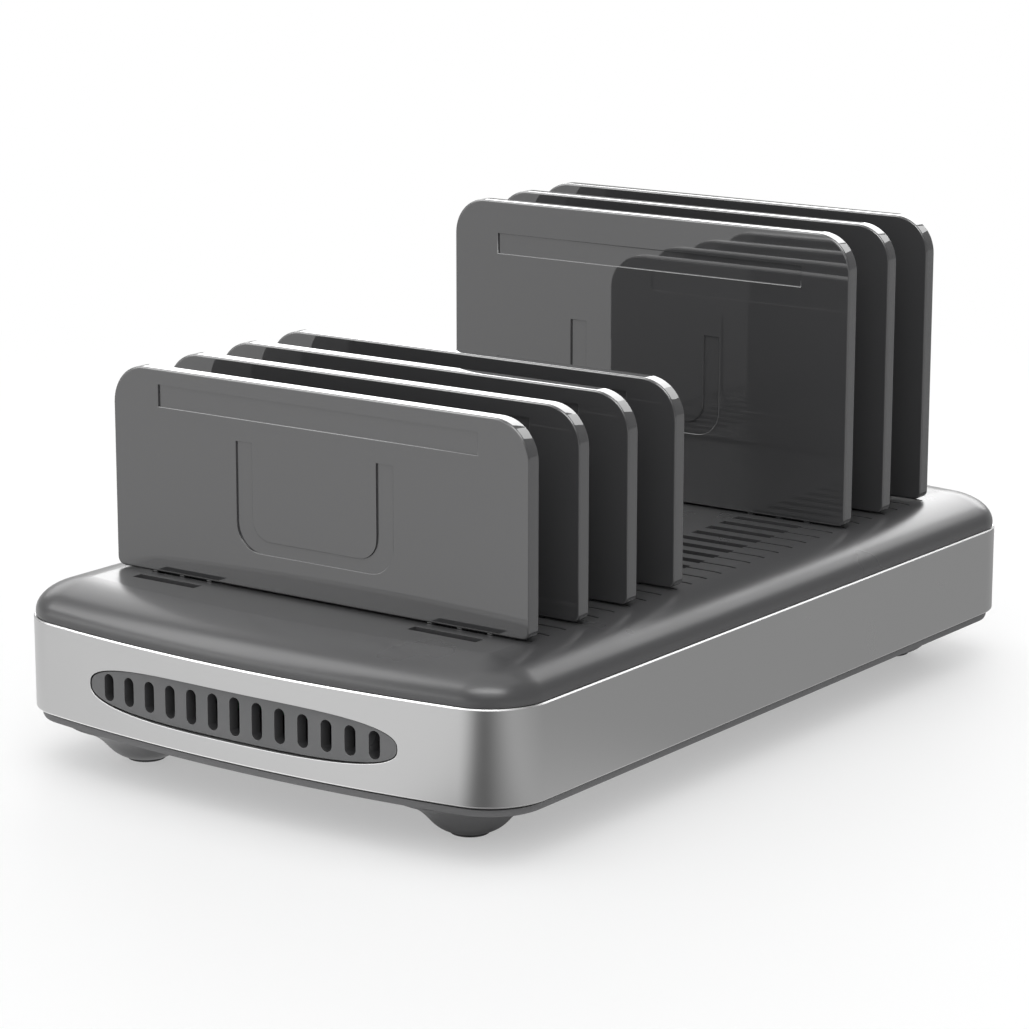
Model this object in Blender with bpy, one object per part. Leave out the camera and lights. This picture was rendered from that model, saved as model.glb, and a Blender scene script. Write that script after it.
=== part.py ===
# USB charging station: a low case with a bright band round it, a slotted deck,
# and seven upright dividers that lift out of the slots.
# Metres, +Z up. The origin is on the table under the middle of the case.
# The vented end faces +X, the mains inlet end -X, the USB sockets -Y.
import bpy
import bmesh
import math

# Case plan and heights
case_length = 0.2504
case_width = 0.1535
end_bow = 0.0071
case_corner_radius = 0.0159
leg_height = 0.0105
foot_proud = 0.0008
tray_thickness = 0.0024
band_height = 0.0235
cover_rise = 0.0090
seat_gap = 0.0003
cut_overrun = 0.0010
fuse_overlap = 0.0005

# Band
band_wall = 0.0020
band_top_chamfer = 0.0005
band_foot_chamfer = 0.0004

# Top cover
cover_edge_inset = 0.0009
cover_edge_step = 0.0008
shoulder_run = 0.0155
cover_wall = 0.0024
skirt_wall = 0.0016
cover_boss_radius = 0.0036

# Slots in the deck
slot_pitch = 0.00678
slot_width = 0.0032
slot_length = 0.0200
slot_depth = 0.0051
slot_end_margin = 0.0107
deck_end_margin = 0.0093
groove_width = 0.0009
groove_depth = 0.0007
groove_end_margin = 0.0005
rack_floor = 0.0015
rack_side = 0.0018

# Dividers
divider_side_inset = 0.01285
divider_thickness = 0.0041
divider_gap = 0.0005
divider_edge_round = 0.0005
divider_top_radius = 0.0100
divider_base_radius = 0.0020
short_divider_height = 0.0517
tall_divider_height = 0.0774
face_recess_depth = 0.0005
hollow_half_width = 0.0242
hollow_height = 0.0272
hollow_leg_width = 0.0050
hollow_base_width = 0.0031
hollow_corner_radius = 0.0070
short_hollow_base = 0.0093
tall_hollow_base = 0.0194
groove_band_side_margin = 0.0148
groove_band_height = 0.0055
short_groove_band_drop = 0.0040
tall_groove_band_drop = 0.0091
peg_width = 0.0017
peg_thickness = 0.0026
peg_drop = 0.0048
short_divider_count = 4
tall_divider_count = 3
dividers_apart_rows = 3

# Oval windows in the band and what fills them
oval_half_length = 0.0475
oval_half_height = 0.0062
oval_long_power = 3.4
oval_end_power = 2.6
window_drop = 0.00045
panel_recess = 0.0012
panel_tip_recess = 0.0002
panel_flange = 0.0012
panel_flange_thickness = 0.0012
vent_slot_count = 13
vent_slot_span_share = 0.864
vent_slot_width = 0.0032
vent_slot_height_share = 0.70

# USB sockets
port_count = 10
port_pitch = 0.0172
port_width = 0.0131
port_height = 0.0057
port_length = 0.0140
port_wall = 0.00035
port_corner_radius = 0.0006
port_end_margin = 0.0050
port_window_end_length = 0.0240
port_setback = 0.0003
insert_back_length = 0.0040
tongue_thickness = 0.0018
tongue_length = 0.0085
tongue_roof_gap = 0.0006

# Base tray, legs and foot pads
tray_lip_inset = 0.0016
tray_lip_chamfer = 0.0008
leg_end_inset = 0.0263
leg_side_inset = 0.0260
leg_flare_radius = 0.0200
leg_flare_power = 5
leg_spread = 0.0046
leg_tip_radius = 0.0063
leg_tip_round = 0.0012
leg_rim = 0.0004
foot_pad_radius = 0.0044
foot_pad_thickness = 0.0018
foot_pad_round = 0.0007
floor_slot_width = 0.0030
floor_slot_length = 0.0260
floor_slot_pitch = 0.0140
floor_slot_row_offset = 0.0240

# Case screws
screw_head_radius = 0.0028
screw_head_height = 0.0020
screw_head_depth = 0.0058
screw_radius = 0.0014
screw_length = 0.0210
screw_hole_radius = 0.0018

# Boards and what stands on them
board_thickness = 0.0016
board_edge_gap = 0.0020
board_front_gap = 0.0038
board_post_radius = 0.0030
board_post_inset = 0.0055
charging_board_depth = 0.0300
power_board_lift = 0.0030
boards_apart = 0.0040
power_board_depth = 0.0700
transformer_length = 0.0320
transformer_width = 0.0260
transformer_height = 0.0170
transformer_core_wall = 0.0050
winding_round = 0.0060
bulk_capacitor_radius = 0.0080
bulk_capacitor_length = 0.0300
capacitor_crimp = 0.0006
output_capacitor_radius = 0.0040
output_capacitor_height = 0.0120
choke_outer_radius = 0.0085
choke_wire_radius = 0.0034
heat_sink_length = 0.0500
heat_sink_depth = 0.0120
heat_sink_height = 0.0160
heat_sink_plate = 0.0020
heat_sink_fin = 0.0011
heat_sink_fin_pitch = 0.0033

# Mains inlet
inlet_offset = 0.0170
inlet_half_length = 0.0090
inlet_half_height = 0.0044
inlet_depth = 0.0170
inlet_socket_depth = 0.0115
inlet_lobe_radius = 0.0035
inlet_neck_half_height = 0.0023
inlet_pin_half_apart = 0.0043
inlet_pin_radius = 0.0012
inlet_pin_length = 0.0125
inlet_collar = 0.0014
inlet_collar_length = 0.0030
body_corner_radius = 0.0012

# Rocker switch
switch_offset = 0.0170
switch_half_length = 0.0078
switch_half_height = 0.0042
switch_depth = 0.0130
switch_wall = 0.0010
rocker_radius = 0.0062
rocker_axis_depth = 0.0038
rocker_well_depth = 0.0034
rocker_tip_rise_share = 0.55
rocker_valley_share = 0.28
rocker_base_share = -0.35
rocker_pin_radius = 0.0009
rocker_pin_length = 0.0006
rocker_tilt = math.radians(7)

# Where things stand on the power board: shares of its half length, then of its depth
transformer_place_shares = (-0.10, 0.30)
capacitor_place_shares = (-0.62, 0.30)
choke_place_shares = (-0.66, 0.72)
heat_sink_place_shares = (0.12, 0.80)
output_capacitor_shares = (0.45, 0.60, 0.75)
output_capacitor_row_share = 0.30

# Sizes that follow from the ones above
half_length = case_length / 2
half_width = case_width / 2
tray_bottom_z = foot_proud + leg_height
tray_top_z = tray_bottom_z + tray_thickness
band_bottom_z = tray_top_z + seat_gap
band_top_z = band_bottom_z + band_height
window_z = (band_bottom_z + band_top_z) / 2 - window_drop
cover_edge_z = band_top_z + seat_gap
deck_z = cover_edge_z + cover_rise
deck_underside_z = deck_z - cover_wall
divider_base_z = deck_z + divider_gap
inner_inset = band_wall + seat_gap
flange_half_height = oval_half_height + panel_flange
skirt_bottom_z = window_z + flange_half_height + seat_gap
flange_back_inset = inner_inset + panel_flange_thickness
bow_radius = (half_width ** 2 + end_bow ** 2) / (2 * end_bow)
bow_centre_x = half_length - bow_radius
deck_half_length = half_length - cover_edge_inset - shoulder_run
divider_half_width = half_width - divider_side_inset
slot_outer_y = divider_half_width - slot_end_margin
slot_inner_y = slot_outer_y - slot_length
slot_row_count = 1 + int(2 * (deck_half_length - deck_end_margin) / slot_pitch)
slot_rows = [(row - (slot_row_count - 1) / 2) * slot_pitch for row in range(slot_row_count)]
leg_x = half_length - leg_end_inset
leg_y = half_width - leg_side_inset
leg_places = [(sx * leg_x, sy * leg_y) for sx in (-1, 1) for sy in (-1, 1)]
leg_top_z = tray_bottom_z - seat_gap
pad_seat_z = foot_pad_thickness + seat_gap
vent_slot_pitch = 2 * oval_half_length * vent_slot_span_share / (vent_slot_count - 1)
port_window_half = (port_count - 1) * port_pitch / 2 + port_width / 2 + port_end_margin
port_places = [(i - (port_count - 1) / 2) * port_pitch for i in range(port_count)]
port_front_y = -half_width + panel_recess + port_setback
port_back_y = port_front_y + port_length
charging_board_top_z = window_z - port_height / 2 - seat_gap
charging_board_front_y = -half_width + flange_back_inset + board_front_gap
charging_board_back_y = charging_board_front_y + charging_board_depth
power_board_top_z = tray_top_z + power_board_lift + board_thickness
power_board_front_y = charging_board_back_y + boards_apart
power_board_back_y = power_board_front_y + power_board_depth
board_half_length = leg_x - cover_boss_radius - board_edge_gap
part_floor_z = power_board_top_z + seat_gap
screw_seat_z = foot_proud + screw_head_depth + screw_head_height
screw_tip_z = screw_seat_z + screw_length
steps_bow = 8
steps_corner = 5
steps_round = 16
steps_hole = 10
steps_wire = 8


def clear_scene():
    for thing in list(bpy.data.objects):
        bpy.data.objects.remove(thing, do_unlink=True)


def material(name, colour, roughness, metallic):
    made = bpy.data.materials.new(name)
    made.use_nodes = True
    shader = made.node_tree.nodes["Principled BSDF"]
    shader.inputs["Base Color"].default_value = (*colour, 1.0)
    shader.inputs["Roughness"].default_value = roughness
    shader.inputs["Metallic"].default_value = metallic
    made.diffuse_color = (*colour, 1.0)
    return made


def finish(name, mesh_data, surface, round_angle=math.radians(30)):
    """Turn a bmesh into a named object with its faces pointing out."""
    bmesh.ops.recalc_face_normals(mesh_data, faces=mesh_data.faces)
    mesh = bpy.data.meshes.new(name)
    mesh_data.to_mesh(mesh)
    mesh_data.free()
    mesh.shade_smooth()
    mesh.set_sharp_from_angle(angle=round_angle)
    made = bpy.data.objects.new(name, mesh)
    bpy.context.scene.collection.objects.link(made)
    if surface is not None:
        made.data.materials.append(surface)
    return made


def guide(name, mesh_data):
    made = finish(name, mesh_data, None)
    made.hide_render = True
    made.display_type = "WIRE"
    return made


def combine(target, other, operation):
    step = target.modifiers.new(other.name, "BOOLEAN")
    step.object = other
    step.operation = operation
    step.solver = "EXACT"


def add_box(mesh_data, low, high):
    corners = [mesh_data.verts.new((x, y, z)) for x in (low[0], high[0])
               for y in (low[1], high[1]) for z in (low[2], high[2])]
    for face in ((0, 1, 3, 2), (4, 6, 7, 5), (0, 4, 5, 1), (2, 3, 7, 6), (0, 2, 6, 4), (1, 5, 7, 3)):
        mesh_data.faces.new([corners[i] for i in face])


def skin(mesh_data, rings, closed=False):
    """Join rings of equal point count; the ends are capped unless the rings close on themselves."""
    loops = [[mesh_data.verts.new(point) for point in ring] for ring in rings]
    pairs = list(zip(loops, loops[1:]))
    if closed:
        pairs.append((loops[-1], loops[0]))
    for lower, upper in pairs:
        count = len(lower)
        for i in range(count):
            j = (i + 1) % count
            mesh_data.faces.new((lower[i], lower[j], upper[j], upper[i]))
    if not closed:
        mesh_data.faces.new(loops[0])
        mesh_data.faces.new(loops[-1])


def add_prism(mesh_data, outline, low, high, axis):
    """Extrude a flat outline along one axis; its points are given in the other two."""
    def placed(point, level):
        values = list(point)
        values.insert(axis, level)
        return tuple(values)
    skin(mesh_data, [[placed(p, low) for p in outline], [placed(p, high) for p in outline]])


def add_turned(mesh_data, profile, centre, steps, closed=False):
    """Turn a profile of (radius, z) points about a vertical line; a closed profile leaves a hole."""
    rings = []
    for radius, z in profile:
        rings.append([(centre[0] + radius * math.cos(2 * math.pi * i / steps),
                       centre[1] + radius * math.sin(2 * math.pi * i / steps), z)
                      for i in range(steps)])
    skin(mesh_data, rings, closed)


def arc(centre, radius, start, end, steps):
    return [(centre[0] + radius * math.cos(start + (end - start) * i / steps),
             centre[1] + radius * math.sin(start + (end - start) * i / steps))
            for i in range(steps + 1)]


def rounded_rectangle(low, high, radius, steps, top_radius=None):
    """Corners in order from low-low, anticlockwise; the high side may have its own radius."""
    upper = radius if top_radius is None else top_radius
    upper_steps = steps if top_radius is None else 3 * steps
    quarter = math.pi / 2
    return (arc((low[0] + radius, low[1] + radius), radius, 2 * quarter, 3 * quarter, steps)
            + arc((high[0] - radius, low[1] + radius), radius, 3 * quarter, 4 * quarter, steps)
            + arc((high[0] - upper, high[1] - upper), upper, 0, quarter, upper_steps)
            + arc((low[0] + upper, high[1] - upper), upper, quarter, 2 * quarter, upper_steps))


def stadium(centre, half_width_u, half_height_v, steps):
    """A slot with round ends, standing up along its second axis."""
    straight = half_height_v - half_width_u
    return (arc((centre[0], centre[1] + straight), half_width_u, 0, math.pi, steps)
            + arc((centre[0], centre[1] - straight), half_width_u, math.pi, 2 * math.pi, steps))


def case_plan(inset):
    """The case outline drawn in by an inset: straight sides, bowed ends and round corners."""
    corner = max(case_corner_radius - inset, fuse_overlap)
    corner_y = half_width - case_corner_radius
    corner_x = bow_centre_x + math.sqrt((bow_radius - case_corner_radius) ** 2 - corner_y ** 2)
    swing = math.atan2(corner_y, corner_x - bow_centre_x)
    end = arc((bow_centre_x, 0), bow_radius - inset, -swing, swing, steps_bow)
    turn = arc((corner_x, corner_y), corner, swing, math.pi / 2, steps_corner)[1:]
    half = [(x, -y) for x, y in reversed(turn)] + end + turn
    return half + [(-x, -y) for x, y in half]


def case_ring(inset, z):
    return [(x, y, z) for x, y in case_plan(inset)]


def bow_x(y, inset):
    """Where the bowed end lies at a distance y from the middle."""
    return bow_centre_x + math.sqrt((bow_radius - inset) ** 2 - y ** 2)


def on_side(side, u, depth, z):
    """A point on a side of the case: u along it, depth inwards from its outer face."""
    if side == "vent_end":
        return (bow_x(u, depth), u, z)
    if side == "inlet_end":
        return (-bow_x(u, depth), u, z)
    return (u, -half_width + depth, z)


def oval_half_at(u, half_long, half_high, end_length):
    share = max(0, abs(u) - (half_long - end_length)) / end_length
    return half_high * (1 - min(1, share) ** oval_long_power) ** (1 / oval_end_power)


def oval(half_long, half_high, end_length, steps=7):
    """A long oval with blunt ends, drawn in upright pairs of points."""
    straight = half_long - end_length
    right = [straight + end_length * math.sin(math.pi / 2 * i / steps) for i in range(steps + 1)]
    first = 0 if straight > 0 else 1
    stations = [-u for u in reversed(right)] + right[first:]
    upper = [(u, oval_half_at(u, half_long, half_high, end_length)) for u in stations[1:-1]]
    lower = [(u, -v) for u, v in reversed(upper)]
    return [(stations[0], 0)] + upper + [(stations[-1], 0)] + lower


def panel_depth(u):
    """How far an end panel's face lies inside the band: deep in the middle, shallow at its tips."""
    share = min(1, abs(u) / oval_half_length)
    return panel_recess - (panel_recess - panel_tip_recess) * share ** 2


def window_plug(name, side, half_long, end_length, surface):
    """The recessed oval panel that fills a window, with a flange behind the band."""
    mouth = oval(half_long - seat_gap, oval_half_height - seat_gap, end_length - seat_gap)
    flange = oval(half_long + panel_flange, flange_half_height, end_length + panel_flange)
    face_depths = [panel_recess if side == "port_side" else panel_depth(u) for u, v in mouth]
    layers = [(mouth, face_depths), (mouth, [inner_inset] * len(mouth)),
              (flange, [inner_inset] * len(flange)), (flange, [flange_back_inset] * len(flange))]
    mesh_data = bmesh.new()
    loops = []
    for outline, depths in layers:
        loops.append([mesh_data.verts.new(on_side(side, u, depth, window_z + v))
                      for (u, v), depth in zip(outline, depths)])
    for lower, upper in zip(loops, loops[1:]):
        for i in range(len(lower)):
            j = (i + 1) % len(lower)
            mesh_data.faces.new((lower[i], lower[j], upper[j], upper[i]))
    for loop in (loops[0], loops[-1]):
        count = len(loop)
        half = count // 2
        mesh_data.faces.new((loop[0], loop[1], loop[-1]))
        for i in range(1, half - 1):
            mesh_data.faces.new((loop[i], loop[i + 1], loop[count - i - 1], loop[count - i]))
        mesh_data.faces.new((loop[half - 1], loop[half], loop[half + 1]))
    return finish(name, mesh_data, surface)


def make_band(surface):
    chamfer, foot = band_top_chamfer, band_foot_chamfer
    profile = [(0, band_bottom_z + foot), (0, band_top_z - chamfer), (chamfer, band_top_z),
               (band_wall, band_top_z), (band_wall, band_bottom_z), (foot, band_bottom_z)]
    mesh_data = bmesh.new()
    skin(mesh_data, [case_ring(inset, z) for inset, z in profile], closed=True)
    band = finish("side_band", mesh_data, surface)
    windows = bmesh.new()
    reach = 2 * end_bow
    mouth = [(u, window_z + v) for u, v in oval(oval_half_length, oval_half_height,
                                                   oval_half_length)]
    for sign in (-1, 1):
        edges = sorted((sign * (half_length - reach), sign * (half_length + cut_overrun)))
        add_prism(windows, mouth, edges[0], edges[1], 0)
    mouth = [(u, window_z + v) for u, v in oval(port_window_half, oval_half_height,
                                                   port_window_end_length)]
    add_prism(windows, mouth, -half_width - cut_overrun, -half_width + band_wall + cut_overrun, 1)
    combine(band, guide("band_windows", windows), "DIFFERENCE")
    return band


def shoulder(edge_inset, run, low_z, high_z, steps=6):
    """A quarter ellipse from the upright edge up and in to the flat deck."""
    return [(edge_inset + run * (1 - math.cos(math.pi / 2 * i / steps)),
             low_z + (high_z - low_z) * math.sin(math.pi / 2 * i / steps))
            for i in range(steps + 1)]


def make_cover(surface):
    outer = shoulder(cover_edge_inset, shoulder_run, cover_edge_z + cover_edge_step, deck_z)
    inner = shoulder(inner_inset + skirt_wall, shoulder_run - skirt_wall,
                     cover_edge_z, deck_underside_z, 2)
    profile = list(reversed(outer)) + [(cover_edge_inset, cover_edge_z), (inner_inset, cover_edge_z),
                                       (inner_inset, skirt_bottom_z),
                                       (inner_inset + skirt_wall, skirt_bottom_z)] + inner
    mesh_data = bmesh.new()
    skin(mesh_data, [case_ring(inset, z) for inset, z in profile])
    cover = finish("top_cover", mesh_data, surface)
    rack_end = slot_rows[-1] + slot_width / 2 + rack_side
    pocket_floor_z = deck_z - slot_depth
    racks = bmesh.new()
    pockets = bmesh.new()
    grooves = bmesh.new()
    for sign in (-1, 1):
        near_y, far_y = sorted((sign * slot_inner_y, sign * slot_outer_y))
        add_box(racks, (-rack_end, near_y - rack_side, pocket_floor_z - rack_floor),
                (rack_end, far_y + rack_side, deck_underside_z + fuse_overlap))
        groove_y = sorted((sign * (slot_outer_y - fuse_overlap),
                           sign * (divider_half_width - groove_end_margin)))
        for x in slot_rows:
            add_box(pockets, (x - slot_width / 2, near_y, pocket_floor_z),
                    (x + slot_width / 2, far_y, deck_z + cut_overrun))
        for x in slot_rows[1:-1]:
            add_box(grooves, (x - groove_width / 2, groove_y[0], deck_z - groove_depth),
                    (x + groove_width / 2, groove_y[1], deck_z + cut_overrun))
    bosses = bmesh.new()
    holes = bmesh.new()
    boss_foot_z = tray_top_z + seat_gap
    for place in leg_places:
        add_turned(bosses, [(cover_boss_radius, boss_foot_z),
                            (cover_boss_radius, deck_underside_z + fuse_overlap)], place, steps_hole)
        add_turned(holes, [(screw_hole_radius, boss_foot_z - cut_overrun),
                           (screw_hole_radius, screw_tip_z + seat_gap)], place, steps_hole)
    combine(cover, guide("slot_racks", racks), "UNION")
    combine(cover, guide("cover_bosses", bosses), "UNION")
    combine(cover, guide("slot_pockets", pockets), "DIFFERENCE")
    combine(cover, guide("slot_grooves", grooves), "DIFFERENCE")
    combine(cover, guide("cover_boss_holes", holes), "DIFFERENCE")
    return cover


def leg_profile(steps=6):
    """Outer shape of a leg, tip upwards: a blunt foot that flares to a thin rim under the tray."""
    flare = leg_flare_radius - leg_tip_radius - leg_spread
    rise = leg_top_z - leg_rim - foot_proud
    points = [(leg_tip_radius - leg_tip_round, foot_proud)]
    for share in [i / steps for i in range(1, steps + 1)]:
        radius = leg_tip_radius + leg_spread * share + flare * share ** leg_flare_power
        points.append((radius, foot_proud + rise * share))
    return points + [(leg_flare_radius, leg_top_z)]


def make_legs(surface):
    """Legs are pieces of their own, held under the tray by the case screws that run up them."""
    bore = [(screw_hole_radius, leg_top_z), (screw_hole_radius, screw_seat_z),
            (screw_head_radius + seat_gap, screw_seat_z), (screw_head_radius + seat_gap, pad_seat_z),
            (foot_pad_radius + seat_gap, pad_seat_z), (foot_pad_radius + seat_gap, foot_proud)]
    for number, place in enumerate(leg_places, 1):
        mesh_data = bmesh.new()
        add_turned(mesh_data, leg_profile() + bore, place, steps_round, closed=True)
        finish(f"leg_{number}", mesh_data, surface)


def make_tray(surface):
    lip, chamfer = tray_lip_inset, tray_lip_chamfer
    profile = [(lip + chamfer, tray_bottom_z), (lip, tray_bottom_z + chamfer), (lip, tray_top_z)]
    mesh_data = bmesh.new()
    skin(mesh_data, [case_ring(inset, z) for inset, z in profile])
    tray = finish("base_tray", mesh_data, surface)
    holes = bmesh.new()
    for place in leg_places:
        add_turned(holes, [(screw_hole_radius, tray_bottom_z - cut_overrun),
                           (screw_hole_radius, tray_top_z + cut_overrun)], place, steps_hole)
    vents = bmesh.new()
    count = int((leg_x - leg_flare_radius) / floor_slot_pitch)
    for side in (-1, 1):
        for i in range(-count + 1, count):
            x = i * floor_slot_pitch
            outline = stadium((x, side * floor_slot_row_offset), floor_slot_width / 2,
                              floor_slot_length / 2, 2)
            add_prism(vents, outline, tray_bottom_z - cut_overrun, tray_top_z + cut_overrun, 2)
    combine(tray, guide("tray_screw_holes", holes), "DIFFERENCE")
    combine(tray, guide("floor_vents", vents), "DIFFERENCE")
    return tray


def make_foot_pads(surface):
    profile = [(foot_pad_radius - foot_pad_round, 0), (foot_pad_radius, foot_pad_round),
               (foot_pad_radius, foot_pad_thickness)]
    for number, place in enumerate(leg_places, 1):
        mesh_data = bmesh.new()
        add_turned(mesh_data, profile, place, steps_round)
        finish(f"foot_pad_{number}", mesh_data, surface)


def make_case_screws(surface):
    profile = [(screw_head_radius, screw_seat_z - seat_gap - screw_head_height),
               (screw_head_radius, screw_seat_z - seat_gap),
               (screw_radius, screw_seat_z - seat_gap), (screw_radius, screw_tip_z - screw_radius),
               (screw_radius / 2, screw_tip_z)]
    for number, place in enumerate(leg_places, 1):
        mesh_data = bmesh.new()
        add_turned(mesh_data, profile, place, steps_hole)
        finish(f"case_screw_{number}", mesh_data, surface)


def make_vent_grille(surface):
    grille = window_plug("vent_grille", "vent_end", oval_half_length, oval_half_length, surface)
    slots = bmesh.new()
    for i in range(vent_slot_count):
        u = (i - (vent_slot_count - 1) / 2) * vent_slot_pitch
        half_high = vent_slot_height_share * oval_half_at(u, oval_half_length, oval_half_height,
                                                          oval_half_length)
        outline = stadium((u, window_z), vent_slot_width / 2, half_high, 4)
        add_prism(slots, outline, half_length - 2 * end_bow - flange_back_inset,
                  half_length + cut_overrun, 0)
    combine(grille, guide("vent_slots", slots), "DIFFERENCE")


def body_outline(half_long, half_high, radius, centre_u):
    return rounded_rectangle((centre_u - half_long, window_z - half_high),
                             (centre_u + half_long, window_z + half_high), radius, 3)


def body_front_x(centre_u):
    """Bodies in the inlet panel stand a little proud of its face."""
    return -bow_x(centre_u, panel_depth(centre_u)) - seat_gap


def panel_body(half_long, half_high, radius, centre_u, depth):
    """A body that passes through the inlet panel, with a collar behind its flange."""
    front_x = body_front_x(centre_u)
    collar_x = -bow_x(abs(centre_u) + half_long + inlet_collar, flange_back_inset) + seat_gap
    slim = body_outline(half_long, half_high, radius, centre_u)
    broad = body_outline(half_long + inlet_collar, half_high + inlet_collar,
                         radius + inlet_collar, centre_u)
    collar_back_x = collar_x + inlet_collar_length
    layers = [(slim, front_x), (slim, collar_x), (broad, collar_x), (broad, collar_back_x),
              (slim, collar_back_x), (slim, front_x + depth)]
    mesh_data = bmesh.new()
    skin(mesh_data, [[(x, y, z) for y, z in outline] for outline, x in layers])
    return mesh_data, front_x


def make_inlet_panel(surface):
    panel = window_plug("inlet_panel", "inlet_end", oval_half_length, oval_half_length, surface)
    holes = bmesh.new()
    for half_long, half_high, radius, u in inlet_panel_bodies():
        outline = body_outline(half_long + seat_gap, half_high + seat_gap, radius + seat_gap, u)
        add_prism(holes, outline, -half_length - cut_overrun, -half_length + 2 * end_bow, 0)
    combine(panel, guide("inlet_panel_holes", holes), "DIFFERENCE")


def inlet_panel_bodies():
    return [(inlet_half_length, inlet_half_height, inlet_half_height - seat_gap, inlet_offset),
            (switch_half_length, switch_half_height, body_corner_radius, -switch_offset)]


def figure_eight(steps=8):
    """The mouth of the mains socket: two round lobes run together."""
    swing = math.asin(inlet_neck_half_height / inlet_lobe_radius)
    left = arc((inlet_offset - inlet_pin_half_apart, window_z), inlet_lobe_radius,
               swing, 2 * math.pi - swing, steps)
    right = arc((inlet_offset + inlet_pin_half_apart, window_z), inlet_lobe_radius,
                swing - math.pi, math.pi - swing, steps)
    return left + right


def make_mains_inlet(surface, pin_surface):
    half_long, half_high, radius, centre_u = inlet_panel_bodies()[0]
    mesh_data, front_x = panel_body(half_long, half_high, radius, centre_u, inlet_depth)
    inlet = finish("mains_inlet", mesh_data, surface)
    socket = bmesh.new()
    socket_x = front_x + inlet_socket_depth
    add_prism(socket, figure_eight(), front_x - cut_overrun, socket_x, 0)
    combine(inlet, guide("inlet_socket", socket), "DIFFERENCE")
    pin_holes = bmesh.new()
    for name, sign in (("inlet_pin_left", -1), ("inlet_pin_right", 1)):
        centre = (inlet_offset + sign * inlet_pin_half_apart, window_z)
        turn = [i * 2 * math.pi / steps_hole for i in range(steps_hole)]
        hole = [(centre[0] + (inlet_pin_radius + seat_gap) * math.cos(a),
                 centre[1] + (inlet_pin_radius + seat_gap) * math.sin(a)) for a in turn]
        add_prism(pin_holes, hole, socket_x - fuse_overlap, front_x + inlet_depth + cut_overrun, 0)
        back_x = front_x + inlet_depth
        tip_x = back_x - inlet_pin_length
        layers = [(inlet_pin_radius / 2, tip_x), (inlet_pin_radius, tip_x + inlet_pin_radius / 2),
                  (inlet_pin_radius, back_x)]
        pin = bmesh.new()
        skin(pin, [[(x, centre[0] + r * math.cos(a), centre[1] + r * math.sin(a)) for a in turn]
                   for r, x in layers])
        finish(name, pin, pin_surface)
    combine(inlet, guide("inlet_pin_holes", pin_holes), "DIFFERENCE")


def rocker_axis():
    centre_u = inlet_panel_bodies()[1][-1]
    return body_front_x(centre_u) + rocker_axis_depth, centre_u


def make_switch(body_surface, rocker_surface):
    half_long, half_high, radius, centre_u = inlet_panel_bodies()[1]
    mesh_data, front_x = panel_body(half_long, half_high, radius, centre_u, switch_depth)
    body = finish("switch_body", mesh_data, body_surface)
    axis_x, axis_y = rocker_axis()
    well_half_high = switch_half_height - switch_wall
    well = bmesh.new()
    add_box(well, (front_x - cut_overrun, axis_y - rocker_radius - seat_gap, window_z - well_half_high),
            (axis_x + rocker_well_depth, axis_y + rocker_radius + seat_gap, window_z + well_half_high))
    combine(body, guide("switch_well", well), "DIFFERENCE")
    pin_seats = bmesh.new()
    reach = well_half_high - seat_gap + rocker_pin_length
    turn = [(axis_x + (rocker_pin_radius + seat_gap) * math.cos(i * 2 * math.pi / steps_hole),
             axis_y + (rocker_pin_radius + seat_gap) * math.sin(i * 2 * math.pi / steps_hole))
            for i in range(steps_hole)]
    add_prism(pin_seats, turn, window_z - reach - seat_gap, window_z + reach + seat_gap, 2)
    combine(body, guide("switch_pin_seats", pin_seats), "DIFFERENCE")
    make_rocker(rocker_surface, axis_x, axis_y, well_half_high - seat_gap, reach)


def make_rocker(surface, axis_x, axis_y, half_high, pin_reach):
    """The rocker lies on its off side at rest; its ends are round about its own axis."""
    rise, base = math.asin(rocker_tip_rise_share), math.asin(rocker_base_share)
    right = arc((0, 0), rocker_radius, base, rise, 4)
    left = arc((0, 0), rocker_radius, math.pi - rise, math.pi - base, 4)
    outline = right + [(0, rocker_radius * rocker_valley_share)] + left
    placed = []
    for u, v in outline:
        y = u * math.cos(rocker_tilt) - v * math.sin(rocker_tilt)
        out = u * math.sin(rocker_tilt) + v * math.cos(rocker_tilt)
        placed.append((-out, y))
    mesh_data = bmesh.new()
    add_prism(mesh_data, placed, -half_high, half_high, 2)
    rocker = finish("switch_rocker", mesh_data, surface)
    rocker.location = (axis_x, axis_y, window_z)
    pins = bmesh.new()
    add_turned(pins, [(rocker_pin_radius, -pin_reach), (rocker_pin_radius, pin_reach)], (0, 0),
               steps_hole)
    pins_guide = guide("rocker_pins", pins)
    pins_guide.location = rocker.location
    combine(rocker, pins_guide, "UNION")


def make_port_fascia(surface):
    fascia = window_plug("port_fascia", "port_side", port_window_half, port_window_end_length, surface)
    holes = bmesh.new()
    for x in port_places:
        outline = rounded_rectangle((x - port_width / 2 - seat_gap, window_z - port_height / 2 - seat_gap),
                                    (x + port_width / 2 + seat_gap, window_z + port_height / 2 + seat_gap),
                                    port_corner_radius + seat_gap, 1)
        add_prism(holes, outline, -half_width - cut_overrun,
                  -half_width + flange_back_inset + cut_overrun, 1)
    combine(fascia, guide("port_holes", holes), "DIFFERENCE")


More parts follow.
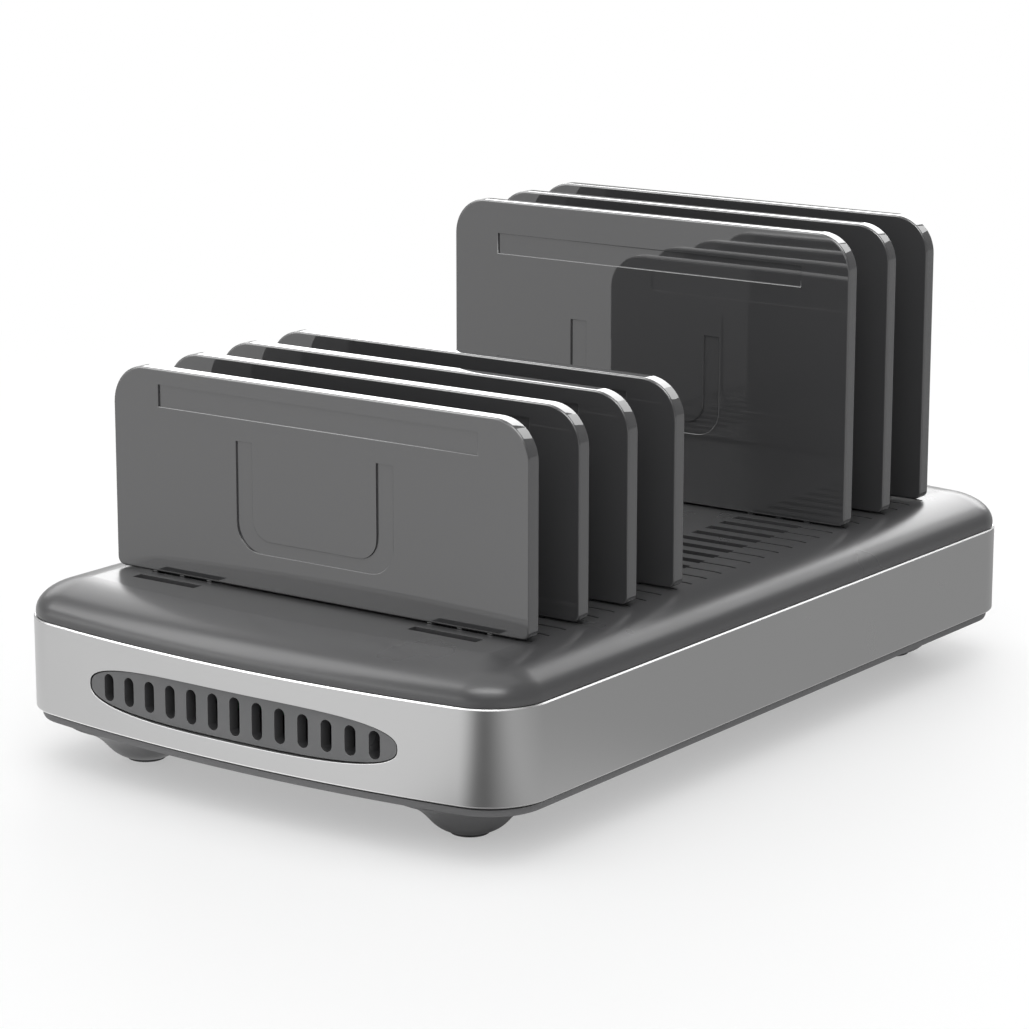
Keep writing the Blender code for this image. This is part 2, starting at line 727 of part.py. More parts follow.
def make_ports(shell_surface, insert_surface):
    for number, x in enumerate(port_places, 1):
        outer = rounded_rectangle((x - port_width / 2, window_z - port_height / 2),
                                  (x + port_width / 2, window_z + port_height / 2),
                                  port_corner_radius, 1)
        inner = rounded_rectangle((x - port_width / 2 + port_wall, window_z - port_height / 2 + port_wall),
                                  (x + port_width / 2 - port_wall, window_z + port_height / 2 - port_wall),
                                  port_corner_radius - port_wall / 2, 1)
        layers = [(outer, port_front_y), (outer, port_back_y), (inner, port_back_y),
                  (inner, port_front_y)]
        mesh_data = bmesh.new()
        skin(mesh_data, [[(u, y, v) for u, v in outline] for outline, y in layers], closed=True)
        finish(f"usb_shell_{number:02d}", mesh_data, shell_surface)
        make_port_insert(number, x, insert_surface)


def make_port_insert(number, x, surface):
    """The moulded back of a socket with its contact tongue, one L-shaped piece."""
    roof_z = window_z + port_height / 2 - port_wall - seat_gap
    floor_z = window_z - port_height / 2 + port_wall + seat_gap
    tongue_top_z = roof_z - tongue_roof_gap
    face_y = port_back_y - insert_back_length
    outline = [(port_back_y, floor_z), (port_back_y, roof_z), (face_y, roof_z),
               (face_y, tongue_top_z), (face_y - tongue_length, tongue_top_z),
               (face_y - tongue_length, tongue_top_z - tongue_thickness),
               (face_y, tongue_top_z - tongue_thickness), (face_y, floor_z)]
    half = port_width / 2 - port_wall - seat_gap
    mesh_data = bmesh.new()
    add_prism(mesh_data, outline, x - half, x + half, 0)
    finish(f"usb_insert_{number:02d}", mesh_data, surface)


def make_boards(surface):
    """Each board stands on four spacers that are pressed into its corners."""
    rows = (("charging_board", charging_board_front_y, charging_board_back_y, charging_board_top_z),
            ("power_board", power_board_front_y, power_board_back_y, power_board_top_z))
    for name, front_y, back_y, top_z in rows:
        outline = rounded_rectangle((-board_half_length, front_y), (board_half_length, back_y),
                                    body_corner_radius, 2)
        mesh_data = bmesh.new()
        add_prism(mesh_data, outline, top_z - board_thickness, top_z, 2)
        board = finish(name, mesh_data, surface)
        posts = bmesh.new()
        for x in (-board_half_length + board_post_inset, board_half_length - board_post_inset):
            for y in (front_y + board_post_inset, back_y - board_post_inset):
                add_turned(posts, [(board_post_radius, tray_top_z + seat_gap),
                                   (board_post_radius, top_z - board_thickness + fuse_overlap)],
                           (x, y), steps_hole)
        combine(board, guide(f"{name}_posts", posts), "UNION")


def power_board_place(share_x, share_y):
    """A place on the power board, as shares of its half length and its depth."""
    return (share_x * board_half_length,
            power_board_front_y + share_y * (power_board_back_y - power_board_front_y))


def make_transformer(surface):
    x, y = power_board_place(transformer_place_shares[0], transformer_place_shares[1])
    half_x, half_y = transformer_length / 2, transformer_width / 2
    core = bmesh.new()
    add_box(core, (x - half_x, y - half_y + transformer_core_wall, part_floor_z),
            (x + half_x, y + half_y - transformer_core_wall, part_floor_z + transformer_height))
    made = finish("transformer", core, surface)
    winding = bmesh.new()
    lift = transformer_core_wall / 2
    outline = rounded_rectangle((x - half_x + transformer_core_wall, y - half_y),
                                (x + half_x - transformer_core_wall, y + half_y), winding_round, 3)
    add_prism(winding, outline, part_floor_z + lift, part_floor_z + transformer_height - lift, 2)
    combine(made, guide("winding_shape", winding), "UNION")


def make_bulk_capacitor(surface):
    """A can lying along the board, with the crimp near its sealed end."""
    x, y = power_board_place(capacitor_place_shares[0], capacitor_place_shares[1])
    radius, crimp = bulk_capacitor_radius, capacitor_crimp
    stations = [(0, radius - crimp), (crimp, radius), (3 * crimp, radius),
                (5 * crimp, radius - crimp), (7 * crimp, radius),
                (bulk_capacitor_length - crimp, radius), (bulk_capacitor_length, radius - crimp)]
    turn = [i * 2 * math.pi / steps_round for i in range(steps_round)]
    mesh_data = bmesh.new()
    skin(mesh_data, [[(x - bulk_capacitor_length / 2 + along, y + r * math.cos(a),
                       part_floor_z + radius + r * math.sin(a)) for a in turn]
                     for along, r in stations])
    finish("bulk_capacitor", mesh_data, surface)


def make_output_capacitors(surface):
    radius, crimp = output_capacitor_radius, capacitor_crimp
    profile = [(radius - crimp, part_floor_z), (radius, part_floor_z + crimp),
               (radius, part_floor_z + output_capacitor_height - crimp),
               (radius - crimp, part_floor_z + output_capacitor_height)]
    for number, share_x in enumerate(output_capacitor_shares, 1):
        mesh_data = bmesh.new()
        add_turned(mesh_data, profile, power_board_place(share_x, output_capacitor_row_share), steps_hole)
        finish(f"output_capacitor_{number}", mesh_data, surface)


def make_filter_choke(surface):
    x, y = power_board_place(choke_place_shares[0], choke_place_shares[1])
    middle = choke_outer_radius - choke_wire_radius
    z = part_floor_z + choke_wire_radius
    mesh_data = bmesh.new()
    rings = []
    for i in range(steps_round):
        a = i * 2 * math.pi / steps_round
        rings.append([(x + (middle + choke_wire_radius * math.cos(b)) * math.cos(a),
                       y + (middle + choke_wire_radius * math.cos(b)) * math.sin(a),
                       z + choke_wire_radius * math.sin(b))
                      for b in [j * 2 * math.pi / steps_wire for j in range(steps_wire)]])
    skin(mesh_data, rings, closed=True)
    finish("filter_choke", mesh_data, surface)


def make_heat_sink(surface):
    """An extruded comb: an upright plate with fins behind it."""
    x, y = power_board_place(heat_sink_place_shares[0], heat_sink_place_shares[1])
    count = int((heat_sink_length - heat_sink_fin) / heat_sink_fin_pitch)
    start = x - count * heat_sink_fin_pitch / 2
    front_y, tip_y = y - heat_sink_depth / 2, y + heat_sink_depth / 2
    plate_y = front_y + heat_sink_plate
    outline = [(start - heat_sink_fin / 2, front_y),
               (start + count * heat_sink_fin_pitch + heat_sink_fin / 2, front_y)]
    for i in reversed(range(count + 1)):
        fin_x = start + i * heat_sink_fin_pitch
        if i < count:
            outline.append((fin_x + heat_sink_fin / 2, plate_y))
        outline.append((fin_x + heat_sink_fin / 2, tip_y))
        outline.append((fin_x - heat_sink_fin / 2, tip_y))
        if i > 0:
            outline.append((fin_x - heat_sink_fin / 2, plate_y))
    mesh_data = bmesh.new()
    add_prism(mesh_data, outline, part_floor_z, part_floor_z + heat_sink_height, 2)
    finish("heat_sink", mesh_data, surface)


def divider_outline(height, inset):
    return rounded_rectangle((-divider_half_width + inset, inset),
                             (divider_half_width - inset, height - inset),
                             divider_base_radius - inset, 2, divider_top_radius - inset)


def hollow_outline(base):
    """The U-shaped channel sunk in a divider's face, open between its legs."""
    wide, narrow = hollow_half_width, hollow_half_width - hollow_leg_width
    top = base + hollow_height
    inner_base = base + hollow_base_width
    radius = hollow_corner_radius
    inner_radius = radius - hollow_base_width / 2
    quarter = math.pi / 2
    outer = (arc((-wide + radius, base + radius), radius, 2 * quarter, 3 * quarter, 3)
             + arc((wide - radius, base + radius), radius, 3 * quarter, 4 * quarter, 3))
    inner = (arc((narrow - inner_radius, inner_base + inner_radius), inner_radius, 0, -quarter, 3)
             + arc((-narrow + inner_radius, inner_base + inner_radius), inner_radius, -quarter,
                   -2 * quarter, 3))
    return [(-wide, top)] + outer + [(wide, top), (narrow, top)] + inner + [(-narrow, top)]


def groove_band_outline(height, drop):
    half = divider_half_width - groove_band_side_margin
    top = height - drop
    return [(-half, top - groove_band_height), (half, top - groove_band_height), (half, top), (-half, top)]


def add_foot(mesh_data, sign):
    """Three pegs which stand in one slot of the deck."""
    near = slot_inner_y + seat_gap + peg_width / 2
    far = slot_outer_y - seat_gap - peg_width / 2
    for centre in (near, (near + far) / 2, far):
        add_box(mesh_data, (-peg_thickness / 2, sign * centre - peg_width / 2, -divider_gap - peg_drop),
                (peg_thickness / 2, sign * centre + peg_width / 2, fuse_overlap))


def make_divider(name, x, height, hollow_base, band_drop, surface):
    half = divider_thickness / 2
    edge = divider_edge_round
    layers = [(edge, -half), (0, edge - half), (0, half - edge), (edge, half)]
    mesh_data = bmesh.new()
    skin(mesh_data, [[(along, y, z) for y, z in divider_outline(height, inset)]
                     for inset, along in layers])
    plate = finish(name, mesh_data, surface)
    plate.location = (x, 0, divider_base_z)
    feet = bmesh.new()
    for sign in (-1, 1):
        add_foot(feet, sign)
    feet_guide = guide(f"{name}_feet", feet)
    feet_guide.location = plate.location
    combine(plate, feet_guide, "UNION")
    sunk = bmesh.new()
    for sign in (-1, 1):
        low, high = sorted((sign * (half - face_recess_depth), sign * (half + cut_overrun)))
        add_prism(sunk, hollow_outline(hollow_base), low, high, 0)
        add_prism(sunk, groove_band_outline(height, band_drop), low, high, 0)
    sunk_guide = guide(f"{name}_recesses", sunk)
    sunk_guide.location = plate.location
    combine(plate, sunk_guide, "DIFFERENCE")


def make_dividers(surface):
    """Short dividers from the vented end, tall ones from the other, a few rows apart."""
    last = slot_row_count - 1
    for i in range(short_divider_count):
        x = slot_rows[last - 1 - i * dividers_apart_rows]
        make_divider(f"divider_short_{i + 1}", x, short_divider_height, short_hollow_base,
                     short_groove_band_drop, surface)
    for i in range(tall_divider_count):
        x = slot_rows[1 + (tall_divider_count - 1 - i) * dividers_apart_rows]
        make_divider(f"divider_tall_{i + 1}", x, tall_divider_height, tall_hollow_base,
                     tall_groove_band_drop, surface)


def build():
    clear_scene()
    satin_plastic = material("satin_black_plastic", (0.070, 0.070, 0.070), 0.35, 0.0)
    gloss_plastic = material("gloss_black_plastic", (0.028, 0.028, 0.028), 0.12, 0.0)
    tray_plastic = material("tray_plastic", (0.045, 0.045, 0.045), 0.55, 0.0)
    panel_plastic = material("grey_panel_plastic", (0.160, 0.160, 0.160), 0.45, 0.0)
    silver = material("satin_silver", (0.530, 0.535, 0.545), 0.30, 1.0)
    rubber = material("foot_rubber", (0.020, 0.020, 0.020), 0.85, 0.0)
    steel = material("plated_steel", (0.560, 0.560, 0.550), 0.30, 1.0)
    tongue = material("socket_insulator", (0.035, 0.035, 0.035), 0.50, 0.0)
    board = material("circuit_board", (0.020, 0.120, 0.045), 0.50, 0.0)
    ferrite = material("ferrite", (0.060, 0.055, 0.050), 0.70, 0.0)
    can = material("capacitor_sleeve", (0.030, 0.035, 0.080), 0.40, 0.0)
    copper = material("copper_winding", (0.600, 0.260, 0.130), 0.35, 1.0)
    aluminium = material("extruded_aluminium", (0.600, 0.600, 0.610), 0.40, 1.0)
    make_tray(tray_plastic)
    make_legs(tray_plastic)
    make_band(silver)
    make_cover(satin_plastic)
    make_vent_grille(panel_plastic)
    make_inlet_panel(panel_plastic)
    make_mains_inlet(tray_plastic, steel)
    make_switch(tray_plastic, gloss_plastic)
    make_port_fascia(panel_plastic)
    make_ports(steel, tongue)
    make_boards(board)
    make_transformer(ferrite)
    make_bulk_capacitor(can)
    make_output_capacitors(can)
    make_filter_choke(copper)
    make_heat_sink(aluminium)
    make_foot_pads(rubber)
    make_case_screws(steel)
    make_dividers(gloss_plastic)


build()
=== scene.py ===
# USB charging station: fine surfaces, finishes, light and camera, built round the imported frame.
import math
import bpy
from mathutils import Matrix, Vector


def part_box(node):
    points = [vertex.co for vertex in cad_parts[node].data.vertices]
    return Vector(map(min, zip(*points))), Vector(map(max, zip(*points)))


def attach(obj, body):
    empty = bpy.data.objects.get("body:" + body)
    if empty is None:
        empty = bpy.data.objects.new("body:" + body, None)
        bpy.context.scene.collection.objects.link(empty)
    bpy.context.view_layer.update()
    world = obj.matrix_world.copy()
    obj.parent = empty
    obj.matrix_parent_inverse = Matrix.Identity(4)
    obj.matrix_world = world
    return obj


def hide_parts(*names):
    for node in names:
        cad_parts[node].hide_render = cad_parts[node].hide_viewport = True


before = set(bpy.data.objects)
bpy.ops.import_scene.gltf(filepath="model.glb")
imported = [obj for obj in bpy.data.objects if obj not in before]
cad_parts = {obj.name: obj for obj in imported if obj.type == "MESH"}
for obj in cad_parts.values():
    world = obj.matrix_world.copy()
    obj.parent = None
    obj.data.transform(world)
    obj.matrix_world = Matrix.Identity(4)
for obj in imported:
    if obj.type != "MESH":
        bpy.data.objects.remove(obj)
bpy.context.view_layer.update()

mm = 0.001
tiny = 0.00001
over = 1.0 * mm  # how far a cutter reaches past the face it cuts
sink = 0.5 * mm  # how far pieces that get joined reach into each other
quarter = math.pi / 2

bandLow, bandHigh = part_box("side_band")
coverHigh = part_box("top_cover")[1]
trayLow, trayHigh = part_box("base_tray")


def lengths(**values):
    # Values in millimetres, alone or in tuples, as metres.
    return {name: tuple(v * mm for v in value) if isinstance(value, tuple) else value * mm
            for name, value in values.items()}


# What the case pieces share. The plan has straight sides, bowed ends and round corners.
casePlan = lengths(endBow=7.1, cornerRadius=15.9, seatGap=0.3, bandWall=2.0)
casePlan |= {"bowSteps": 14, "cornerSteps": 14}
seatGap = casePlan["seatGap"]
halfLength, halfWidth = bandHigh.x, bandHigh.y
bowRadius = (halfWidth ** 2 + casePlan["endBow"] ** 2) / (2 * casePlan["endBow"])
bowCentreX = halfLength - bowRadius
cornerY = halfWidth - casePlan["cornerRadius"]
cornerX = bowCentreX + math.sqrt((bowRadius - casePlan["cornerRadius"]) ** 2 - cornerY ** 2)
bowSwing = math.atan2(cornerY, cornerX - bowCentreX)
innerInset = casePlan["bandWall"] + seatGap


def centred(count, pitch):
    # A row of equal steps about the middle.
    return [(i - (count - 1) / 2) * pitch for i in range(count)]


# Modelling helpers

def deselectAll():
    if bpy.context.object and bpy.context.object.mode != "OBJECT":
        closeMesh()
    bpy.ops.object.select_all(action="DESELECT")


def activate(piece):
    deselectAll()
    piece.select_set(True)
    bpy.context.view_layer.objects.active = piece


def openMesh(piece, kind="VERT", test=None):
    # Enters edit mode with the corners or edges selected that pass a test; no test selects all.
    activate(piece)
    mesh = piece.data
    for group in (mesh.vertices, mesh.edges, mesh.polygons):
        group.foreach_set("select", [test is None] * len(group))
    bpy.context.tool_settings.mesh_select_mode = (kind == "VERT", kind == "EDGE", False)
    if test and kind == "VERT":
        for corner in mesh.vertices:
            corner.select = test(corner.co)
    elif test:
        for edge in mesh.edges:
            edge.select = test(*(mesh.vertices[i].co for i in edge.vertices))
    bpy.ops.object.mode_set(mode="EDIT")


def closeMesh():
    bpy.ops.object.mode_set(mode="OBJECT")


def settle(piece):
    # Puts the place, turn and size of a piece into its mesh.
    activate(piece)
    bpy.ops.object.transform_apply(location=True, rotation=True, scale=True)
    return piece


def addBox(low, high):
    deselectAll()
    low, high = Vector(low), Vector(high)
    bpy.ops.mesh.primitive_cube_add(size=1, location=(low + high) / 2, scale=high - low)
    return settle(bpy.context.object)


def addRod(radius, start, end, sides, turn=(0, 0, 0)):
    # A rod between two points, upright unless it is turned.
    deselectAll()
    start, end = Vector(start), Vector(end)
    bpy.ops.mesh.primitive_cylinder_add(vertices=sides, radius=radius, depth=(end - start).length,
                                        location=(start + end) / 2, rotation=turn)
    return settle(bpy.context.object)


def splitRod(rod, axis, middle, shift):
    # Pulls the halves of a rod apart along an axis, which makes a slot with round ends.
    for way in (-1, 1):
        move = [0, 0, 0]
        move[axis] = way * shift
        openMesh(rod, "VERT", lambda co: way * (co[axis] - middle) > tiny)
        bpy.ops.transform.translate(value=move)
        closeMesh()
    return rod


def drawLine(points, filled=False):
    # One point, extruded on from point to point.
    deselectAll()
    bpy.ops.mesh.primitive_plane_add(size=mm, location=points[0])
    piece = bpy.context.object
    openMesh(piece)
    bpy.ops.mesh.merge(type="CENTER")
    here = Vector(points[0])
    for point in points[1:]:
        bpy.ops.mesh.extrude_vertices_move(TRANSFORM_OT_translate={"value": Vector(point) - here})
        here = Vector(point)
    if filled:
        bpy.ops.mesh.select_all(action="SELECT")
        bpy.ops.mesh.edge_face_add()
    closeMesh()
    return settle(piece)


def pullFaces(reach):
    bpy.ops.mesh.extrude_region_move(TRANSFORM_OT_translate={"value": reach})


def prismX(outline, start, reach):
    # An outline of (across, up) points, filled and extruded along X.
    return prism([(start, u, v) for u, v in outline], (reach, 0, 0))


def prismY(outline, start, reach):
    return prism([(u, start, v) for u, v in outline], (0, reach, 0))


def prism(points, reach):
    piece = drawLine(points, filled=True)
    openMesh(piece)
    pullFaces(reach)
    closeMesh()
    return faceOut(piece)


def faceOut(piece):
    openMesh(piece)
    bpy.ops.mesh.remove_doubles(threshold=tiny / 10)
    bpy.ops.mesh.normals_make_consistent(inside=False)
    closeMesh()
    return piece


def useModifier(piece, kind, **settings):
    activate(piece)
    step = piece.modifiers.new(kind.title(), kind)
    for name, value in settings.items():
        setattr(step, name, value)
    bpy.ops.object.modifier_apply(modifier=step.name)


def cut(piece, tool, operation="DIFFERENCE", **more):
    useModifier(piece, "BOOLEAN", object=tool, operation=operation, solver="EXACT", **more)
    bpy.data.objects.remove(tool)


def joinPieces(pieces):
    deselectAll()
    for piece in pieces:
        piece.select_set(True)
    bpy.context.view_layer.objects.active = pieces[0]
    bpy.ops.object.join()
    return bpy.context.object


def copyPiece(piece, shiftX):
    activate(piece)
    bpy.ops.object.duplicate()
    bpy.context.object.location = (shiftX, 0, 0)
    return settle(bpy.context.object)


def softenEdges(piece, width, test, segments=2, least=50):
    # Rounds the edges that pass a test and whose two faces turn by more than some degrees.
    mesh = piece.data
    sides = {}
    for face in mesh.polygons:
        for key in face.edge_keys:
            sides.setdefault(key, []).append(face.normal)
    keep = []
    for edge in mesh.edges:
        pair = sides.get(tuple(sorted(edge.vertices)), [])
        sharp = len(pair) == 2 and pair[0].angle(pair[1], 0) > math.radians(least)
        keep.append(sharp and test(*(mesh.vertices[i].co for i in edge.vertices)))
    openMesh(piece, "EDGE", lambda a, b: False)
    closeMesh()
    mesh.edges.foreach_set("select", keep)
    bpy.ops.object.mode_set(mode="EDIT")
    bpy.ops.mesh.bevel(offset=width, segments=segments, affect="EDGES", clamp_overlap=True)
    closeMesh()


def below(axis, limit):
    # A test for edges that lie wholly under a limit along one axis.
    return lambda a, b: max(a[axis], b[axis]) < limit + tiny


def shadeRound(piece, degrees=35):
    # Round edges shade smoothly while the large flat faces beside them stay flat.
    activate(piece)
    bpy.ops.object.shade_smooth_by_angle(angle=math.radians(degrees))
    useModifier(piece, "WEIGHTED_NORMAL", keep_sharp=True, weight=100)


def dressPiece(piece, name, surfaces, nodes, body="case", shade=35):
    # Shades and names a finished piece and puts it, with its finishes, in place of its nodes.
    if shade:
        shadeRound(piece, shade)
    piece.name = name
    piece.data.name = name
    piece.data.materials.clear()
    for surface in surfaces:
        piece.data.materials.append(finishes[surface])
    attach(piece, body)
    if nodes:
        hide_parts(*nodes)


# Material helpers

def hexColour(code):
    # An sRGB hex value as a linear colour.
    parts = [int(code[i:i + 2], 16) / 255 for i in (1, 3, 5)]
    linear = [p / 12.92 if p <= 0.04045 else ((p + 0.055) / 1.055) ** 2.4 for p in parts]
    return (*linear, 1.0)


def addNode(tree, kind, values=None):
    # Adds a node with its properties and socket values; another node's output is linked.
    node = tree.nodes.new("ShaderNode" + kind)
    for name, value in (values or {}).items():
        if isinstance(value, bpy.types.NodeSocket):
            tree.links.new(value, node.inputs[name])
        elif isinstance(name, str) and hasattr(node, name):
            setattr(node, name, value)
        else:
            node.inputs[name].default_value = value
    return node


def addNoise(tree, place, size, detail, stretch=None, turn=(0, 0, 0)):
    # A noise as fine as its size in millimetres, drawn out where it is given a stretch.
    if stretch:
        place = addNode(tree, "Mapping", {"Scale": stretch, "Rotation": turn,
                                          "Vector": place}).outputs["Vector"]
    values = {"Scale": 1 / (size * mm), "Detail": detail, "Vector": place}
    return addNode(tree, "TexNoise", values).outputs["Fac"]


def addBump(tree, shader, source, height):
    bump = addNode(tree, "Bump", {"Strength": 1.0, "Distance": height * mm, "Height": source})
    tree.links.new(bump.outputs["Normal"], shader.inputs["Normal"])


def startMaterial(name, colour, roughness, metallic=0.0):
    made = bpy.data.materials.new(name)
    made.use_nodes = True
    made.diffuse_color = hexColour(colour)
    shader = made.node_tree.nodes["Principled BSDF"]
    shader.inputs["Base Color"].default_value = hexColour(colour)
    shader.inputs["Roughness"].default_value = roughness
    shader.inputs["Metallic"].default_value = metallic
    place = addNode(made.node_tree, "TexCoord").outputs["Object"]
    return made, made.node_tree, shader, place


def makeFinish(name, colour, roughness, metallic=0.0, grain=None, drift=None, tones=None,
               stretch=None, wipes=None, more=None):
    # Sizes are in mm. Grain: its width and height, and its detail. Drift: a width and the two
    # limits of roughness. Tones: a width and two close colours. Wipes: a drift along a stretch.
    made, tree, shader, place = startMaterial(name, colour, roughness, metallic)
    for socket, value in (more or {}).items():
        shader.inputs[socket].default_value = value
    if grain:
        size, height, detail = (*grain, 2.0)[:3]
        addBump(tree, shader, addNoise(tree, place, size, detail, stretch), height)
    if drift or wipes:
        size, low, high = (drift or wipes)[:3]
        noise = addNoise(tree, place, size, 3.0, *(wipes or ())[3:])
        spread = addNode(tree, "MapRange", {"From Min": 0.3, "From Max": 0.7, "To Min": low,
                                            "To Max": high, "Value": noise})
        tree.links.new(spread.outputs["Result"], shader.inputs["Roughness"])
    if tones:
        size, dark, light = tones
        ramp = addNode(tree, "ValToRGB", {"Fac": addNoise(tree, place, size, 3.0)})
        for number, (position, tone) in enumerate(((0.35, dark), (0.65, light))):
            ramp.color_ramp.elements[number].position = position
            ramp.color_ramp.elements[number].color = hexColour(tone)
        tree.links.new(ramp.outputs["Color"], shader.inputs["Base Color"])
    return made


# Materials

finishLooks = {
    # Anodised after bead blasting: a dense fine grain, coarser than the real grit of 0.1 mm.
    "beadBlastedAluminium": dict(
        colour="#c0c0c0", roughness=0.28, metallic=1.0, grain=(0.25, 0.004), drift=(18, 0.27, 0.31)),
    # The bevel is cut after anodising, so it is bright bare metal with fine tool lines along it.
    "diamondCutAluminium": dict(
        colour="#c5c5c5", roughness=0.30, metallic=1.0, grain=(0.08, 0.002), stretch=(0.02, 0.02, 1.0)),
    # The band's lower edge is a lighter grey as a painted highlight line; it is matt, with the fine
    # scratches of the saw and the deburring brush.
    "paintedHighlightAluminium": dict(
        colour="#e2e2e2", roughness=0.62, metallic=1.0, grain=(0.12, 0.003), stretch=(0.05, 0.05, 1.0)),
    # Injection moulded in a spark-eroded tool: a faint pebble grain under a satin sheen.
    "satinMouldedAbs": dict(colour="#4b4b4c", roughness=0.28, grain=(0.3, 0.006), drift=(25, 0.27, 0.31)),
    # Polished dark acrylic sheet: mirror-like, with a faint long ripple and hairline wipe marks.
    "polishedAcrylic": dict(
        colour="#454546", roughness=0.02, more={"IOR": 1.6, "Specular IOR Level": 1.0},
        grain=(20, 0.003, 0.0), wipes=(0.3, 0.015, 0.03, (1.0, 0.04, 1.0), (0.3, 0.0, 0.0))),
    # Moulded panels in mid grey with a dry, fine texture.
    "mouldedPanelAbs": dict(
        colour="#5f6061", roughness=0.45, grain=(0.3, 0.008), tones=(10, "#5d5e5f", "#626263")),
    # The rims round each slot are polished smoother; their lighter grey is a painted highlight.
    "paintedHighlightPanelEdge": dict(colour="#8e8e8e", roughness=0.25, grain=(0.6, 0.002)),
    # The base is moulded with a coarser tool texture that hides scuffs.
    "texturedTrayAbs": dict(colour="#676768", roughness=0.50, grain=(0.5, 0.02), drift=(20, 0.48, 0.58)),
    # Pressed silicone pads: matt, slightly greyed by dust.
    "siliconeRubber": dict(
        colour="#434344", roughness=0.85, grain=(0.4, 0.015), tones=(3, "#3f3f40", "#4a4a4b")),
    # Stamped steel with bright nickel plating and faint drawing lines.
    "nickelPlatedSteel": dict(
        colour="#c2c0ba", roughness=0.24, metallic=1.0, grain=(0.15, 0.003), stretch=(1.0, 0.05, 1.0)),
    # Glass-filled nylon: dull, with faint flow streaks.
    "blackNylon": dict(
        colour="#1a1a1a", roughness=0.5, grain=(0.35, 0.01), tones=(4, "#171717", "#1e1e1e")),
    # Flash gold over nickel on the spring contacts.
    "goldPlatedContact": dict(colour="#e0b35a", roughness=0.25, metallic=1.0, grain=(0.2, 0.002)),
    # Sintered core: dull dark grey with a stony grain.
    "sinteredFerrite": dict(colour="#3a3835", roughness=0.7, grain=(0.4, 0.02)),
    # PVC sleeve shrunk round a can: smooth with slight waves.
    "shrinkSleeve": dict(colour="#1c2140", roughness=0.32, grain=(3, 0.03)),
    # Mill finish with die lines along the extrusion.
    "extrudedAluminium": dict(
        colour="#b9babc", roughness=0.38, metallic=1.0, grain=(0.2, 0.006), stretch=(1.0, 1.0, 0.03)),
}
maskColours = {"Color1": "#0f4a2a", "Color2": "#0d4226", "Mortar": "#1f6a3c"}
wireLook = {"colour": "#b5682f", "pitch": 0.6 * mm, "groove": 0.1}


def solderMask():
    # Green solder mask over copper tracks, which show as slightly lighter bands.
    made, tree, shader, place = startMaterial("solderMask", maskColours["Color1"], 0.35)
    look = {socket: hexColour(code) for socket, code in maskColours.items()}
    look |= {"Scale": 1 / (6 * mm), "Mortar Size": 0.03, "Vector": place}
    cells = addNode(tree, "TexBrick", look)
    tree.links.new(cells.outputs["Color"], shader.inputs["Base Color"])
    return made


def enamelledCopper():
    # Wound enamelled wire: fine parallel turns.
    made, tree, shader, place = startMaterial("enamelledCopper", wireLook["colour"], 0.3, 1.0)
    scale = 1 / (2 * math.pi * wireLook["pitch"])
    turns = addNode(tree, "TexWave", {"Scale": scale, "Vector": place})
    addBump(tree, shader, turns.outputs["Fac"], wireLook["groove"])
    return made


finishes = {name: makeFinish(name, **look) for name, look in finishLooks.items()}
finishes |= {"solderMask": solderMask(), "enamelledCopper": enamelledCopper()}
print("materials made:", len(finishes))


# Shapes that more than one case piece uses

def sweepCase(profile, closed):
    # Carries a wall section, given as (inset, height), round a quarter of the plan and mirrors it.
    piece = drawLine([(halfLength - inset, 0, z) for inset, z in profile], filled=closed)
    openMesh(piece)
    if closed:
        bpy.ops.mesh.delete(type="ONLY_FACE")
        bpy.ops.mesh.select_all(action="SELECT")
    bpy.ops.mesh.spin(steps=casePlan["bowSteps"], angle=-bowSwing,
                      center=(bowCentreX, 0, 0), axis=(0, 0, 1))
    bpy.ops.mesh.spin(steps=casePlan["cornerSteps"], angle=bowSwing - quarter,
                      center=(cornerX, cornerY, 0), axis=(0, 0, 1))
    bpy.ops.mesh.extrude_edges_move(TRANSFORM_OT_translate={"value": (-cornerX, 0, 0)})
    closeMesh()
    useModifier(piece, "MIRROR", use_axis=(True, True, False), merge_threshold=tiny)
    return piece


def fillRings(piece, heights):
    # Closes each ring of edges that lies at one of the heights with a flat face.
    for height in heights:
        openMesh(piece, "EDGE", lambda a, b: abs(a.z - height) < tiny and abs(b.z - height) < tiny)
        bpy.ops.mesh.edge_face_add()
        closeMesh()
    return faceOut(piece)


def arcPoints(centre, radius, start, end, steps):
    return [(centre[0] + radius * math.cos(start + (end - start) * i / steps),
             centre[1] + radius * math.sin(start + (end - start) * i / steps))
            for i in range(steps + 1)]


def roundedRectangle(centre, half, radius, grow=0.0, steps=6):
    # An outline of (across, up) points, grown by a margin.
    points = []
    for i, signs in enumerate(((-1, -1), (1, -1), (1, 1), (-1, 1))):
        corner = [c + s * (h - radius) for c, s, h in zip(centre, signs, half)]
        points += arcPoints(corner, radius + grow, (i + 2) * quarter, (i + 3) * quarter, steps)
    return points


def quarterOval(low, high, steps):
    # A quarter of an ellipse, from flat at its high end to upright at its low end.
    run, rise = high[0] - low[0], high[1] - low[1]
    return [(low[0] + run * (1 - math.cos(quarter * i / steps)),
             low[1] + rise * math.sin(quarter * i / steps)) for i in reversed(range(steps + 1))]


def ovalOutline(oval, grow, steps=14):
    # The window's blunt oval as (along, up) points about its middle, grown by a margin.
    straight = oval["halfLength"] - oval["endLength"]
    reach, high = oval["endLength"] + grow, oval["halfHeight"] + grow
    part = [(straight + reach * math.cos(quarter * i / steps) ** (2 / oval["longPower"]),
             high * math.sin(quarter * i / steps) ** (2 / oval["endPower"]))
            for i in range(steps + 1)]
    upper = part + [(-u, v) for u, v in reversed(part if straight > 0 else part[:-1])]
    return upper + [(u, -v) for u, v in reversed(upper[1:-1])]


